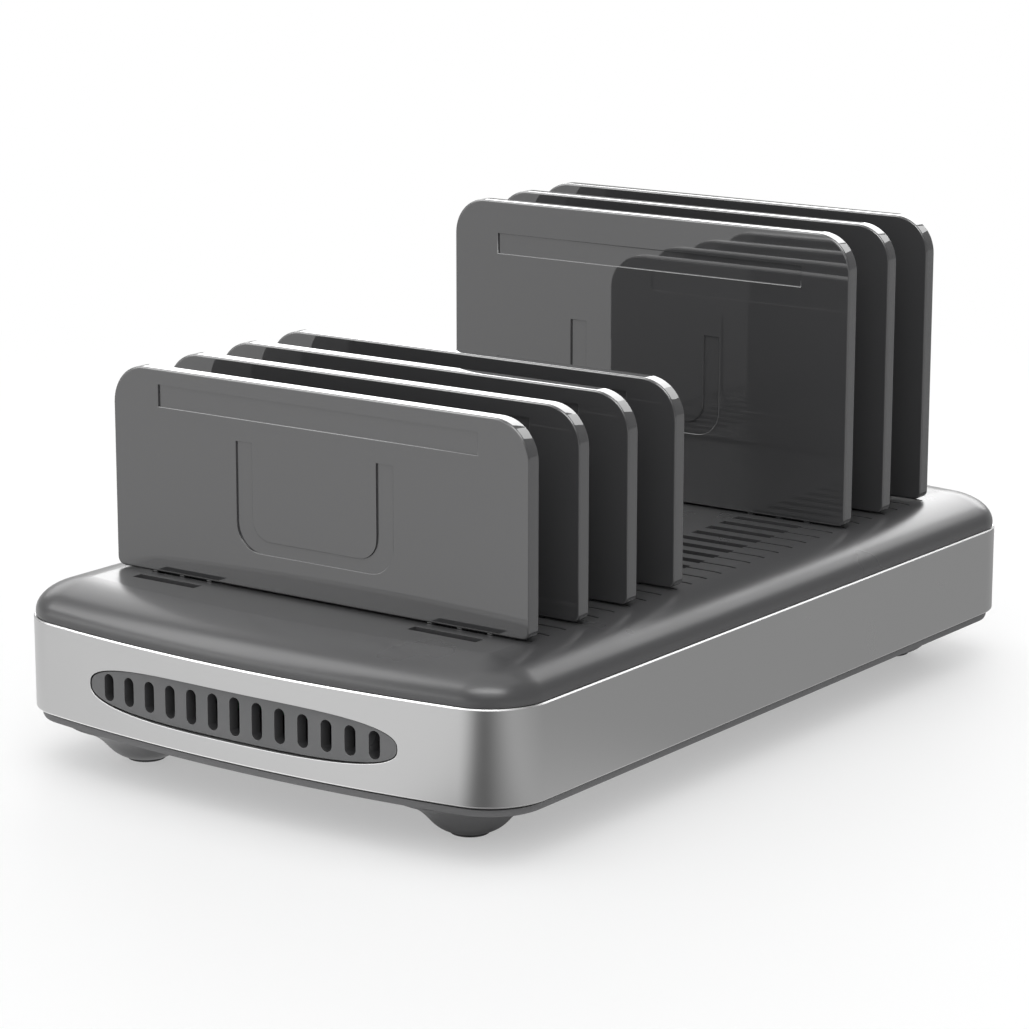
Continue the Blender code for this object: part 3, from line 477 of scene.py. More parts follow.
endOval = lengths(halfLength=47.5, endLength=47.5, halfHeight=6.2)
endOval |= {"longPower": 3.4, "endPower": 2.6}
portOval = endOval | lengths(halfLength=88.95, endLength=24.0)
windowDrop = 0.45 * mm
windowZ = (bandLow.z + bandHigh.z) / 2 - windowDrop


# Side band

bandShape = lengths(topBevel=0.32, footRound=0.4, windowRound=0.25, bowPlay=0.1)


def makeSideBand():
    bevel, foot, wall = bandShape["topBevel"], bandShape["footRound"], casePlan["bandWall"]
    low, top = bandLow.z, bandHigh.z
    profile = [(bevel, top), (wall, top), (wall, low)]
    profile += [(foot * (1 - math.sin(a)), low + foot * (1 - math.cos(a)))
                for a in (quarter * i / 3 for i in range(4))]
    profile += [(0, top - bevel)]
    band = faceOut(sweepCase(profile, True))
    window = [(u, windowZ + v) for u, v in ovalOutline(endOval, 0)]
    tools = [prismX(window, end * (halfLength + over), -end * 2 * casePlan["endBow"])
             for end in (-1, 1)]
    window = [(u, windowZ + v) for u, v in ovalOutline(portOval, 0)]
    tools.append(prismY(window, -halfWidth - over, over + 2 * wall))
    cut(band, joinPieces(tools))
    softenEdges(band, bandShape["windowRound"], onWindow)
    dressPiece(band, "sideBandFine",
               ["beadBlastedAluminium", "diamondCutAluminium", "paintedHighlightAluminium"], ["side_band"],
               shade=25)
    # The bevel and the lower edge are the faces that slope there, not the upright or level ones; the
    # lower edge's lighter grey is a painted highlight.
    for face in band.data.polygons:
        slope = face.normal.z
        cutFace = face.center.z > top - bevel and 0.3 < slope < 0.95
        footFace = face.center.z < low + foot and -0.97 < slope < -0.2
        face.material_index = 1 if cutFace else 2 if footFace else 0


def onWindow(a, b):
    # Whether an edge lies on a window's outer rim, on the near long side or on a bowed end.
    middle = (a + b) / 2
    outer = middle.y < -halfWidth + tiny or abs(middle.x) > halfLength - casePlan["endBow"]
    bowed = math.hypot(abs(middle.x) - bowCentreX, middle.y)
    onFace = abs(abs(middle.y) - halfWidth) < tiny or abs(bowed - bowRadius) < bandShape["bowPlay"]
    return outer and abs(middle.z - windowZ) < endOval["halfHeight"] + tiny and onFace


# Top cover

coverShape = lengths(
    edgeInset=0.5, edgeStep=0.8, edgeRound=0.15, edgeDrop=0.2, run=15.9, skirtWall=1.6,
    skirtOverWindow=1.5, wall=2.4, mostInset=15.4, slotPitch=6.78, slotWidth=3.2, slotInnerY=33.2,
    slotOuterY=53.2, slotDepth=5.1, grooveWidth=0.9, grooveDepth=0.7, grooveEndY=63.4, rimRound=0.15,
    rackFloor=1.5, rackSide=1.8)
coverShape |= {"shoulderSteps": 14, "innerSteps": 6, "slotRows": 30}


def makeTopCover():
    shape = coverShape
    most, edge, ease = shape["mostInset"], shape["edgeInset"], shape["edgeRound"]
    skirt = innerInset + shape["skirtWall"]
    edgeZ = bandHigh.z + seatGap - shape["edgeDrop"]
    deckZ = coverHigh.z
    underZ = deckZ - shape["wall"]
    skirtZ = windowZ + endOval["halfHeight"] + shape["skirtOverWindow"]
    outer = quarterOval((edge, edgeZ + shape["edgeDrop"] + shape["edgeStep"]),
                        (edge + shape["run"], deckZ), shape["shoulderSteps"])
    inner = quarterOval((skirt, edgeZ), (innerInset + shape["run"], underZ), shape["innerSteps"])
    profile = [(most, deckZ)] + [(inset, z) for inset, z in outer if inset < most]
    profile += [(edge, edgeZ + ease), (edge + ease / 3, edgeZ + ease / 3), (edge + ease, edgeZ),
                (innerInset, edgeZ), (innerInset, skirtZ), (skirt, skirtZ)]
    profile += [(inset, z) for inset, z in reversed(inner) if inset < most] + [(most, underZ)]
    cover = fillRings(sweepCase(profile, False), (deckZ, underZ))

    rows = centred(shape["slotRows"], shape["slotPitch"])
    rackEnd = rows[-1] + shape["slotWidth"] / 2 + shape["rackSide"]
    floorZ = deckZ - shape["slotDepth"]
    grooveZ = deckZ - shape["grooveDepth"]
    racks = []
    slots = []
    for side in (-1, 1):
        near, far = sorted((side * shape["slotInnerY"], side * shape["slotOuterY"]))
        lineNear, lineFar = sorted((side * (shape["slotOuterY"] - over), side * shape["grooveEndY"]))
        racks.append(addBox((-rackEnd, near - shape["rackSide"], floorZ - shape["rackFloor"]),
                            (rackEnd, far + shape["rackSide"], underZ + sink)))
        for x in rows:
            half = shape["slotWidth"] / 2
            slots.append(addBox((x - half, near, floorZ), (x + half, far, deckZ + over)))
            if x not in (rows[0], rows[-1]):
                half = shape["grooveWidth"] / 2
                slots.append(addBox((x - half, lineNear, grooveZ), (x + half, lineFar, deckZ + over)))
    cut(cover, joinPieces(racks), "UNION")
    cut(cover, joinPieces(slots), use_self=True)
    softenEdges(cover, shape["rimRound"],
                lambda a, b: min(a.z, b.z) > deckZ - tiny and abs(a.x) < rackEnd)
    dressPiece(cover, "topCoverFine", ["satinMouldedAbs"], ["top_cover"],
               shade=30)


# Dividers

dividerShape = lengths(
    topRadius=10.0, baseRadius=2.0, edgeRound=0.5, gap=0.5, recessDepth=0.5, recessRound=0.2,
    hollowHalfWidth=24.2, hollowHeight=27.2, hollowLeg=5.0, hollowBaseWidth=3.1, hollowRadius=7.0,
    hollowBaseShort=9.3, hollowBaseTall=19.4, stripMargin=14.8, stripHeight=5.5, stripDropShort=4.0,
    stripDropTall=9.1, pegWidth=1.7, pegThickness=2.6, pegDrop=4.8, pegRound=0.3)


def hollowOutline(base):
    # The U-shaped channel in a divider's face, as (across, up) points.
    shape = dividerShape
    wide, narrow = shape["hollowHalfWidth"], shape["hollowHalfWidth"] - shape["hollowLeg"]
    top = base + shape["hollowHeight"]
    floor = base + shape["hollowBaseWidth"]
    outer = shape["hollowRadius"]
    inner = outer - shape["hollowBaseWidth"] / 2
    points = [(-wide, top)]
    points += arcPoints((-wide + outer, base + outer), outer, 2 * quarter, 3 * quarter, 10)
    points += arcPoints((wide - outer, base + outer), outer, 3 * quarter, 4 * quarter, 10)
    points += [(wide, top), (narrow, top)]
    points += arcPoints((narrow - inner, floor + inner), inner, 0, -quarter, 10)
    points += arcPoints((-narrow + inner, floor + inner), inner, -quarter, -2 * quarter, 10)
    return points + [(-narrow, top)]


def makeDivider(kind):
    shape = dividerShape
    low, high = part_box(f"divider_{kind}_1")
    deckZ = coverHigh.z
    baseZ = deckZ + shape["gap"]
    plate = addBox((low.x, low.y, baseZ), high)

    def through(a, b):
        return abs(a.x - b.x) > tiny
    for radius, segments, test in ((shape["topRadius"], 14, lambda a, b: a.z > high.z - tiny),
                                   (shape["baseRadius"], 6, below(2, baseZ))):
        openMesh(plate, "EDGE", lambda a, b: through(a, b) and test(a, b))
        bpy.ops.mesh.bevel(offset=radius, segments=segments, affect="EDGES")
        closeMesh()
    softenEdges(plate, shape["edgeRound"], lambda a, b: not through(a, b), 4)
    faceOut(plate)

    base = baseZ + shape["hollowBase" + kind.title()]
    stripTop = high.z - shape["stripDrop" + kind.title()]
    stripY = high.y - shape["stripMargin"]
    tools = []
    for side, faceX in ((-1, low.x), (1, high.x)):
        start = faceX - side * shape["recessDepth"]
        tools.append(prismX(hollowOutline(base), start, side * 2 * over))
        near, far = sorted((start, faceX + side * over))
        tools.append(addBox((near, -stripY, stripTop - shape["stripHeight"]), (far, stripY, stripTop)))
    cut(plate, joinPieces(tools))
    softenEdges(plate, shape["recessRound"], least=60, test=lambda a, b: not through(a, b)
                and (a.x > high.x - tiny or a.x < low.x + tiny))

    middleX = (low.x + high.x) / 2
    deep, wide = shape["pegThickness"] / 2, shape["pegWidth"] / 2
    near = coverShape["slotInnerY"] + seatGap + wide
    far = coverShape["slotOuterY"] - seatGap - wide
    for side in (-1, 1):
        for y in (side * near, side * (near + far) / 2, side * far):
            peg = addBox((middleX - deep, y - wide, deckZ - shape["pegDrop"]),
                         (middleX + deep, y + wide, baseZ + sink))
            softenEdges(peg, shape["pegRound"],
                        lambda a, b: min(a.z, b.z) < deckZ - shape["pegDrop"] + tiny)
            cut(plate, peg, "UNION")
    shadeRound(plate, 40)
    return plate


def makeDividers():
    for kind, count in (("short", 4), ("tall", 3)):
        pattern = makeDivider(kind)
        for number in range(1, count + 1):
            node = f"divider_{kind}_{number}"
            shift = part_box(node)[0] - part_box(f"divider_{kind}_1")[0]
            dressPiece(copyPiece(pattern, shift.x), f"{kind}Divider{number}",
                       ["polishedAcrylic"], [node], f"{kind}_divider_{number}", shade=None)
        bpy.data.objects.remove(pattern)


# Oval panels in the windows: a face, a lip behind the band, and what is cut in them

panelShape = lengths(
    recess=1.2, tipRecess=0.2, lip=1.2, lipThickness=1.2, edgeRound=0.15, rimDepth=0.2, endCut=15,
    portCut=6)
panelShape |= {"ribs": 27}
ventShape = lengths(
    pitch=6.84, width=3.2, middleHeight=9.6, endHeight=6.9, rimRound=0.35, lining=2.0)
ventShape |= {"count": 13}


def bowX(y, inset):
    return bowCentreX + math.sqrt((bowRadius - inset) ** 2 - y ** 2)


def faceDepth(side, u):
    # How far a panel's face lies inside the band: end panels are shallow at their tips.
    fall = 0 if side == "port" else panelShape["recess"] - panelShape["tipRecess"]
    return panelShape["recess"] - fall * min(1, abs(u) / endOval["halfLength"]) ** 2


def placeOnSide(side, u, depth, z):
    # A point on a side of the case: u along it, depth inwards from its outer face.
    if side == "port":
        return Vector((u, -halfWidth + depth, z))
    return Vector(((1 if side == "vent" else -1) * bowX(u, depth), u, z))


def makePanel(side, oval):
    # An oval face cut into upright strips, extruded back in three steps and bent to its side.
    lip = panelShape["lip"]
    panel = drawLine([(u, v, 0) for u, v in ovalOutline(oval, -seatGap)], filled=True)
    for i in range(1, panelShape["ribs"]):
        openMesh(panel)
        u = oval["halfLength"] * (2 * i / panelShape["ribs"] - 1)
        bpy.ops.mesh.bisect(plane_co=(u, 0, 0), plane_no=(1, 0, 0))
        closeMesh()
    openMesh(panel)
    pullFaces((0, 0, mm))
    pullFaces((0, 0, mm))
    bpy.ops.transform.resize(value=((oval["halfLength"] + lip) / (oval["halfLength"] - seatGap),
                                    (oval["halfHeight"] + lip) / (oval["halfHeight"] - seatGap), 1))
    pullFaces((0, 0, mm))
    closeMesh()
    back = innerInset + (ventShape["lining"] if side == "vent" else panelShape["lipThickness"])
    for corner in panel.data.vertices:
        u, v, layer = corner.co.x, corner.co.y, round(corner.co.z / mm)
        depth = (faceDepth(side, u), innerInset, innerInset, back)[layer]
        corner.co = placeOnSide(side, u, depth, windowZ + v)
    return faceOut(panel)


def onEndFace(side):
    # A test for edges on the face of an end panel, in front of its lip.
    return lambda a, b: (side * (a + b).x / 2
                         > bowX((a + b).y / 2, innerInset) + panelShape["rimDepth"])


def makeVentGrille():
    grille = makePanel("vent", endOval)
    shape = ventShape
    radius = shape["width"] / 2
    tools = []
    for i, y in enumerate(centred(shape["count"], shape["pitch"])):
        share = abs(2 * i / (shape["count"] - 1) - 1)
        height = shape["middleHeight"] * (1 - share) + shape["endHeight"] * share
        rod = addRod(radius, (halfLength - panelShape["endCut"], y, windowZ),
                     (halfLength + over, y, windowZ), 32, (0, quarter, 0))
        tools.append(splitRod(rod, 2, windowZ, height / 2 - radius))
    cut(grille, joinPieces(tools))
    softenEdges(grille, shape["rimRound"], onEndFace(1), 3)
    dressPiece(grille, "ventGrilleFine",
               ["mouldedPanelAbs", "paintedHighlightPanelEdge", "satinMouldedAbs"], ["vent_grille"])
    # Slot walls take the cover's darker plastic as painted shade, and the rims a lighter grey as painted
    # highlight.
    for face in grille.data.polygons:
        y, facing = face.center.y, abs(face.normal.x)
        slotY = round(y / shape["pitch"]) * shape["pitch"]
        if abs(y - slotY) < radius + shape["rimRound"] and facing < 0.97:
            face.material_index = 2 if facing < 0.25 else 1


# Sockets: the panel they look through, and what each is made of

socketShape = lengths(
    pitch=17.2, width=13.1, height=5.7, wall=0.35, corner=0.6, setback=0.3, length=14.0, holeGap=0.3,
    back=4.0, tongueLength=8.5, tongueThickness=1.8, roofGap=0.6, tongueRound=0.25, shellRound=0.1,
    springWidth=2.0, springLength=6.0, springPlaces=(-3.2, 3.2), springStart=2.2, springGap=0.3,
    springLead=0.5, springTail=0.4, springThin=0.05, springDip=0.45, slitOver=0.2,
    contactPlaces=(-3.5, -1.0, 1.0, 3.5), contactWidth=1.0, contactLength=6.5, contactRise=0.12,
    contactSink=0.1, contactStart=0.9, contactRound=0.05)
socketShape |= {"count": 10}


def makePortFascia():
    shape = socketShape
    fascia = makePanel("port", portOval)
    tools = []
    for x in centred(shape["count"], shape["pitch"]):
        outline = roundedRectangle((x, windowZ), (shape["width"] / 2, shape["height"] / 2),
                                   shape["corner"], shape["holeGap"])
        tools.append(prismY(outline, -halfWidth - over, panelShape["portCut"]))
    cut(fascia, joinPieces(tools))
    softenEdges(fascia, panelShape["edgeRound"], below(1, -halfWidth + panelShape["recess"]))
    dressPiece(fascia, "portFasciaFine", ["mouldedPanelAbs"], ["port_fascia"])


def makeShell(x, half, inner, frontY):
    # The folded shell with two spring fingers above and two below.
    shape = socketShape
    shell = prismY(roundedRectangle((x, windowZ), half, shape["corner"]), frontY, shape["length"])
    mouth = roundedRectangle((x, windowZ), inner, shape["corner"] - shape["wall"] / 2)
    cut(shell, prismY(mouth, frontY - over, shape["length"] + 2 * over))
    slits = []
    springs = []
    start = frontY + shape["springStart"]
    end = start + shape["springLength"]
    width, margin = shape["springWidth"] / 2, shape["slitOver"]
    slim, thin = width - shape["springGap"], shape["springThin"]
    for place in shape["springPlaces"]:
        for side in (-1, 1):
            u = x + place
            low, high = sorted((windowZ + side * inner[1], windowZ + side * half[1]))
            slits.append(addBox((u - width, start, low - margin), (u + width, end, high + margin)))
            finger = addBox((u - slim, start + shape["springLead"], low + thin),
                            (u + slim, end + shape["springTail"], high - thin))
            openMesh(finger, "VERT", lambda co: co.y < start + mm)
            bpy.ops.transform.translate(value=(0, 0, -side * shape["springDip"]))
            closeMesh()
            springs.append(finger)
    cut(shell, joinPieces(slits))
    cut(shell, joinPieces(springs), "UNION")
    softenEdges(shell, shape["shellRound"], below(1, frontY), least=60)
    shadeRound(shell)
    return shell


def makeSocket(x):
    # One USB-A socket: its shell, its moulded insert with the tongue, and four contacts.
    shape = socketShape
    frontY = -halfWidth + panelShape["recess"] + shape["setback"]
    backY = frontY + shape["length"]
    half = (shape["width"] / 2, shape["height"] / 2)
    inner = (half[0] - shape["wall"], half[1] - shape["wall"])
    wide, roof = inner[0] - shape["holeGap"], inner[1] - shape["holeGap"]
    tongueTop = windowZ + roof - shape["roofGap"]
    under = tongueTop - shape["tongueThickness"]
    faceY = backY - shape["back"]
    tipY = faceY - shape["tongueLength"]
    insert = addBox((x - wide, faceY, windowZ - roof), (x + wide, backY, windowZ + roof))
    tongue = addBox((x - wide, tipY, under), (x + wide, faceY + over, tongueTop))
    softenEdges(tongue, shape["tongueRound"], below(1, faceY - over), 3)
    cut(insert, tongue, "UNION")
    shadeRound(insert)
    contacts = []
    start = tipY + shape["contactStart"]
    for place in shape["contactPlaces"]:
        u, width = x + place, shape["contactWidth"] / 2
        strip = addBox((u - width, start, under - shape["contactRise"]),
                       (u + width, start + shape["contactLength"], under + shape["contactSink"]))
        softenEdges(strip, shape["contactRound"], below(2, under))
        contacts.append(strip)
    contact = joinPieces(contacts)
    shadeRound(contact)
    return makeShell(x, half, inner, frontY), insert, contact


def makeSockets():
    shape = socketShape
    patterns = makeSocket(centred(shape["count"], shape["pitch"])[0])
    looks = (("usbShell", "plated_steel", "nickelPlatedSteel", "usb_shell"),
             ("usbInsert", "socket_insulator", "blackNylon", "usb_insert"),
             ("usbContacts", "plated_steel", "goldPlatedContact", None))
    for number in range(1, shape["count"] + 1):
        for pattern, (name, slot, finish, node) in zip(patterns, looks):
            made = copyPiece(pattern, (number - 1) * shape["pitch"])
            dressPiece(made, f"{name}{number:02d}", [finish],
                       [f"{node}_{number:02d}"] if node else [], shade=None)
    for pattern in patterns:
        bpy.data.objects.remove(pattern)


# Mains inlet and switch, in the other end's panel

inletShape = lengths(
    offset=17.0, half=(9.0, 4.4), radius=4.1, depth=17.0, socketDepth=11.5, lobeRadius=3.5, neckHalf=2.3,
    pinApart=4.3, pinRadius=1.2, pinLength=12.5, pinRound=0.72, collar=1.4, collarLength=3.0, proud=0.3,
    edgeRound=0.35)
switchShape = lengths(
    offset=-17.0, half=(7.8, 4.2), radius=1.2, depth=13.0, wall=1.0, rockerRadius=6.2, axisDepth=3.8,
    wellDepth=3.4, edgeRound=0.3)
switchShape |= {"tipRise": 0.55, "valley": 0.28, "base": -0.35, "tilt": math.radians(7),
                "dishSteps": 8, "dishPower": 1.6}


def makeInletPanel():
    panel = makePanel("inlet", endOval)
    tools = [prismX(roundedRectangle((shape["offset"], windowZ), shape["half"], shape["radius"],
                                     seatGap), -halfLength - over, panelShape["endCut"])
             for shape in (inletShape, switchShape)]
    cut(panel, joinPieces(tools))
    softenEdges(panel, panelShape["edgeRound"], onEndFace(-1))
    dressPiece(panel, "inletPanelFine", ["mouldedPanelAbs"], ["inlet_panel"])


def makePanelBody(shape):
    # A body through the inlet panel, with a collar behind the panel's lip.
    centre, collar = (shape["offset"], windowZ), inletShape["collar"]
    front = -bowX(centre[0], faceDepth("inlet", centre[0])) - inletShape["proud"]
    collarX = (-bowX(abs(centre[0]) + shape["half"][0] + collar,
                     innerInset + panelShape["lipThickness"]) + seatGap)
    body = prismX(roundedRectangle(centre, shape["half"], shape["radius"], 0, 8), front,
                  shape["depth"])
    broad = roundedRectangle(centre, shape["half"], shape["radius"], collar, 8)
    cut(body, prismX(broad, collarX, inletShape["collarLength"]), "UNION")
    return body, front


def finishBody(body, shape, front, name, node):
    softenEdges(body, shape["edgeRound"], below(0, front), 3)
    dressPiece(body, name, ["blackNylon"], [node])


def makeMainsInlet():
    shape = inletShape
    inlet, front = makePanelBody(shape)
    swing = math.asin(shape["neckHalf"] / shape["lobeRadius"])
    lobes = []
    for side, start in ((-1, 0), (1, -math.pi)):
        lobes += arcPoints((shape["offset"] + side * shape["pinApart"], windowZ), shape["lobeRadius"],
                           start + swing, start + 2 * math.pi - swing, 20)
    cut(inlet, prismX(lobes, front - over, shape["socketDepth"] + over))
    finishBody(inlet, shape, front, "mainsInletFine", "mains_inlet")
    back = front + shape["depth"]
    tip = back - shape["pinLength"]
    for name, side in (("left", -1), ("right", 1)):
        y = shape["offset"] + side * shape["pinApart"]
        pin = addRod(shape["pinRadius"], (tip, y, windowZ), (back, y, windowZ), 24, (0, quarter, 0))
        softenEdges(pin, shape["pinRound"], below(0, tip), 4)
        dressPiece(pin, f"{name}PinFine", ["nickelPlatedSteel"],
                   [f"inlet_pin_{name}"])


def makeSwitch():
    shape = switchShape
    body, front = makePanelBody(shape)
    axisX, axisY = front + shape["axisDepth"], shape["offset"]
    radius, tilt = shape["rockerRadius"], shape["tilt"]
    wellHalf = shape["half"][1] - shape["wall"]
    cut(body, addBox((front - over, axisY - radius - seatGap, windowZ - wellHalf),
                     (axisX + shape["wellDepth"], axisY + radius + seatGap, windowZ + wellHalf)))
    finishBody(body, shape, front, "switchBodyFine", "switch_body")

    # The rocker's outline, as (across, outwards) points: two round sides and a dished face.
    rise, base = math.asin(shape["tipRise"]), math.asin(shape["base"])
    right = arcPoints((0, 0), radius, base, rise, 10)
    left = arcPoints((0, 0), radius, math.pi - rise, math.pi - base, 10)
    tip, dip = right[-1], radius * shape["valley"]
    shares = [1 - i / shape["dishSteps"] for i in range(1, shape["dishSteps"] + 1)]
    dish = [(tip[0] * s, dip + (tip[1] - dip) * s ** shape["dishPower"]) for s in shares]
    outline = right + dish + [(-u, v) for u, v in reversed(dish[:-1])] + left
    half = wellHalf - seatGap
    points = [(axisX - (u * math.sin(tilt) + v * math.cos(tilt)),
               axisY + u * math.cos(tilt) - v * math.sin(tilt), windowZ - half) for u, v in outline]
    rocker = prism(points, (0, 0, 2 * half))
    softenEdges(rocker, shape["edgeRound"],
                lambda a, b: abs(a.z - b.z) < tiny and (a + b).x / 2 < axisX, 3, 60)
    dressPiece(rocker, "switchRockerFine", ["polishedAcrylic"],
               ["switch_rocker"], "power_switch", 40)


# Base tray, its legs, and the pads under them

trayShape = lengths(
    lipInset=1.6, lipBevel=0.8, lipCut=0.24, rimWidth=6.0, shadowGroove=0.5, screwBore=1.8, ventWidth=3.0,
    ventLength=26.0, ventPitch=14.0, ventRow=24.0, edgeRound=0.25)
trayShape |= {"ventCount": 9}
legShape = lengths(
    inset=(26.3, 26.0), tip=5.4, spread=4.2, flare=20.0, foot=0.8, rim=0.4, boreRadius=3.1, boreTop=8.6)
legShape |= {"steps": 24, "bowlPower": 6, "flarePower": 2.4}
padShape = lengths(radius=5.0, thickness=1.8, round=0.7, markDepth=0.25)
padShape |= {"mark": (0.55, 0.6, 0.66)}
legPlaces = [(sx * (halfLength - legShape["inset"][0]), sy * (halfWidth - legShape["inset"][1]))
             for sx in (-1, 1) for sy in (-1, 1)]


def turnPieces(profile, steps, shade, name, finish, node):
    # Turns a line of (radius, height) points about an upright axis at the place of each leg.
    for number, (x, y) in enumerate(legPlaces, 1):
        piece = drawLine([(x + r, y, z) for r, z in profile])
        openMesh(piece)
        bpy.ops.mesh.spin(steps=steps, angle=2 * math.pi, center=(x, y, 0), axis=(0, 0, 1),
                          use_auto_merge=True)
        closeMesh()
        dressPiece(faceOut(piece), name.format(number), [finish], [f"{node}_{number}"],
                   shade=shade)


def makeBaseTray():
    shape = trayShape
    lip, bevel, rim = shape["lipInset"], shape["lipBevel"], shape["rimWidth"]
    topZ, bottomZ = trayHigh.z, trayLow.z
    grooveZ = topZ - shape["shadowGroove"]
    profile = [(lip + bevel + rim, bottomZ), (lip + bevel, bottomZ),
               (lip + shape["lipCut"], bottomZ + shape["lipCut"]), (lip, bottomZ + bevel),
               (lip, grooveZ), (innerInset, grooveZ), (innerInset, topZ), (innerInset + rim, topZ)]
    tray = fillRings(sweepCase(profile, False), (bottomZ, topZ))

    def rodThrough(radius, x, y):
        return addRod(radius, (x, y, bottomZ - over), (x, y, topZ + over), 20)
    tools = [rodThrough(shape["screwBore"], *place) for place in legPlaces]
    half = shape["ventWidth"] / 2
    for y in (-shape["ventRow"], shape["ventRow"]):
        for x in centred(shape["ventCount"], shape["ventPitch"]):
            tools.append(splitRod(rodThrough(half, x, y), 1, y, shape["ventLength"] / 2 - half))
    cut(tray, joinPieces(tools))
    softenEdges(tray, shape["edgeRound"], below(2, bottomZ))
    dressPiece(tray, "baseTrayFine", ["texturedTrayAbs"], ["base_tray"])


def makeLegs():
    # A leg is a bowl that flares to a thin rim under the tray; a stepped bore takes pad and screw.
    shape = legShape
    foot, top = shape["foot"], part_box("leg_1")[1].z
    rise = top - shape["rim"] - foot
    flare = shape["flare"] - shape["tip"] - shape["spread"]
    outer = []
    for i in range(shape["steps"] + 1):
        share = i / shape["steps"]
        bowl = shape["spread"] * (1 - (1 - share) ** shape["bowlPower"])
        outer.append((shape["tip"] + bowl + flare * share ** shape["flarePower"], foot + rise * share))
    seat = padShape["thickness"] + seatGap
    wide = padShape["radius"] + seatGap / 2
    bore = trayShape["screwBore"]
    profile = outer + [(shape["flare"], top), (bore, top), (bore, shape["boreTop"]),
                       (shape["boreRadius"], shape["boreTop"]), (shape["boreRadius"], seat),
                       (wide, seat), (wide, foot), outer[0]]
    turnPieces(profile, 64, 35, "leg{}Fine", "texturedTrayAbs", "leg")


def makeFootPads():
    # A disc with a rounded rim and a moulded ring mark in its sole.
    shape = padShape
    radius, ease = shape["radius"], shape["round"]
    heights = (0, shape["markDepth"], 0)
    profile = [(0, 0)] + [(radius * share, z) for share, z in zip(shape["mark"], heights)]
    profile += [(radius - ease + ease * math.sin(a), ease - ease * math.cos(a))
                for a in (quarter * i / 5 for i in range(6))]
    profile += [(radius, shape["thickness"]), (0, shape["thickness"])]
    turnPieces(profile, 48, 40, "footPad{}", "siliconeRubber", "foot_pad")


for makePiece in (makeSideBand, makeTopCover, makeDividers, makeVentGrille, makePortFascia,
                  makeSockets, makeInletPanel, makeMainsInlet, makeSwitch, makeBaseTray, makeLegs,
                  makeFootPads):
    makePiece()
    print(makePiece.__name__, "done")


# Finishes of the parts that keep their own shape

nodeFinishes = {
    "charging_board": "solderMask", "power_board": "solderMask", "transformer": "sinteredFerrite",
    "bulk_capacitor": "shrinkSleeve", "output_capacitor": "shrinkSleeve",
    "filter_choke": "enamelledCopper", "heat_sink": "extrudedAluminium",
    "case_screw": "nickelPlatedSteel",
}
for name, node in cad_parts.items():
    for kind, finish in nodeFinishes.items():
        if name.startswith(kind):
            node.data.materials.clear()
            node.data.materials.append(finishes[finish])
print("parts dressed")


# Floor, light and camera

stageLook = {
    "floorSize": 8.0, "floorColour": "#f4f4f4", "whiteFrom": 0.28, "whiteAt": 0.60,
    "nearWhite": 0.40, "underWhite": 0.10, "shadowFrom": -0.053, "shadowTo": -0.034, "fill": 0.68,
    "litSide": (-0.30, -0.92, 0.25), "dimUnder": -0.5, "brightOver": 0.6,
    "mirrorDim": 0.20, "mirrorBright": 0.50,
    # What polished and satin surfaces see of the floor, by degrees round from +X
    "floorMirror": {-60: 0.85, -20: 0.95, 12: 1.0, 24: 0.16, 31: 0.16, 50: 0.66, 66: 0.56,
                    84: 0.44, 150: 0.42, 175: 0.5},
}
# Boxes and cards that only mirror in the object, and two that light it as well
softBoxes = {
    "rearBox": {"place": (-1.22, -0.53, 0.72), "size": (1.35, 0.85), "power": 16},
    "cornerBox": {"place": (-0.58, -1.10, 0.80), "size": (0.8, 0.95), "power": 4.6},
    "cornerCard": {"place": (0.76, 0.42, 1.12), "size": (1.2, 0.42), "power": 9.5},
    "edgeBox": {"place": (-1.15, 0.40, 0.90), "size": (0.5, 0.5), "power": 2.0},
    "sideBox": {"place": (1.0, -0.73, 0.42), "size": (0.8, 0.35), "power": 1.1},
    "leftBox": {"place": (0.70, -0.90, 0.98), "size": (0.9, 0.95), "power": 11},
    "lowCard": {"place": (0.85, -0.53, 0.13), "size": (1.0, 0.22), "power": 1.4},
    "topBox": {"place": (0.1, 0.0, 1.5), "size": (1.7, 1.5), "power": 7, "lights": True},
    "frontBox": {"place": (1.1, 0.9, 1.3), "size": (1.4, 1.2), "power": 6, "lights": True},
}
lightAim = (0, 0, 0.05)
cameraPlace = {"position": (0.7274, 0.5188, 0.2583), "heading": 35.914, "fall": 13.049,
               "roll": 0.053, "lens": 122.0, "sensor": 36, "reach": 20}
white = (1, 1, 1, 1)


def smoothRange(tree, source, start, end, low, high):
    # A smooth step from low to high between two limits.
    values = {"interpolation_type": "SMOOTHSTEP", "Value": source, "From Min": start,
              "From Max": end, "To Min": low, "To Max": high}
    return addNode(tree, "MapRange", values).outputs["Result"]


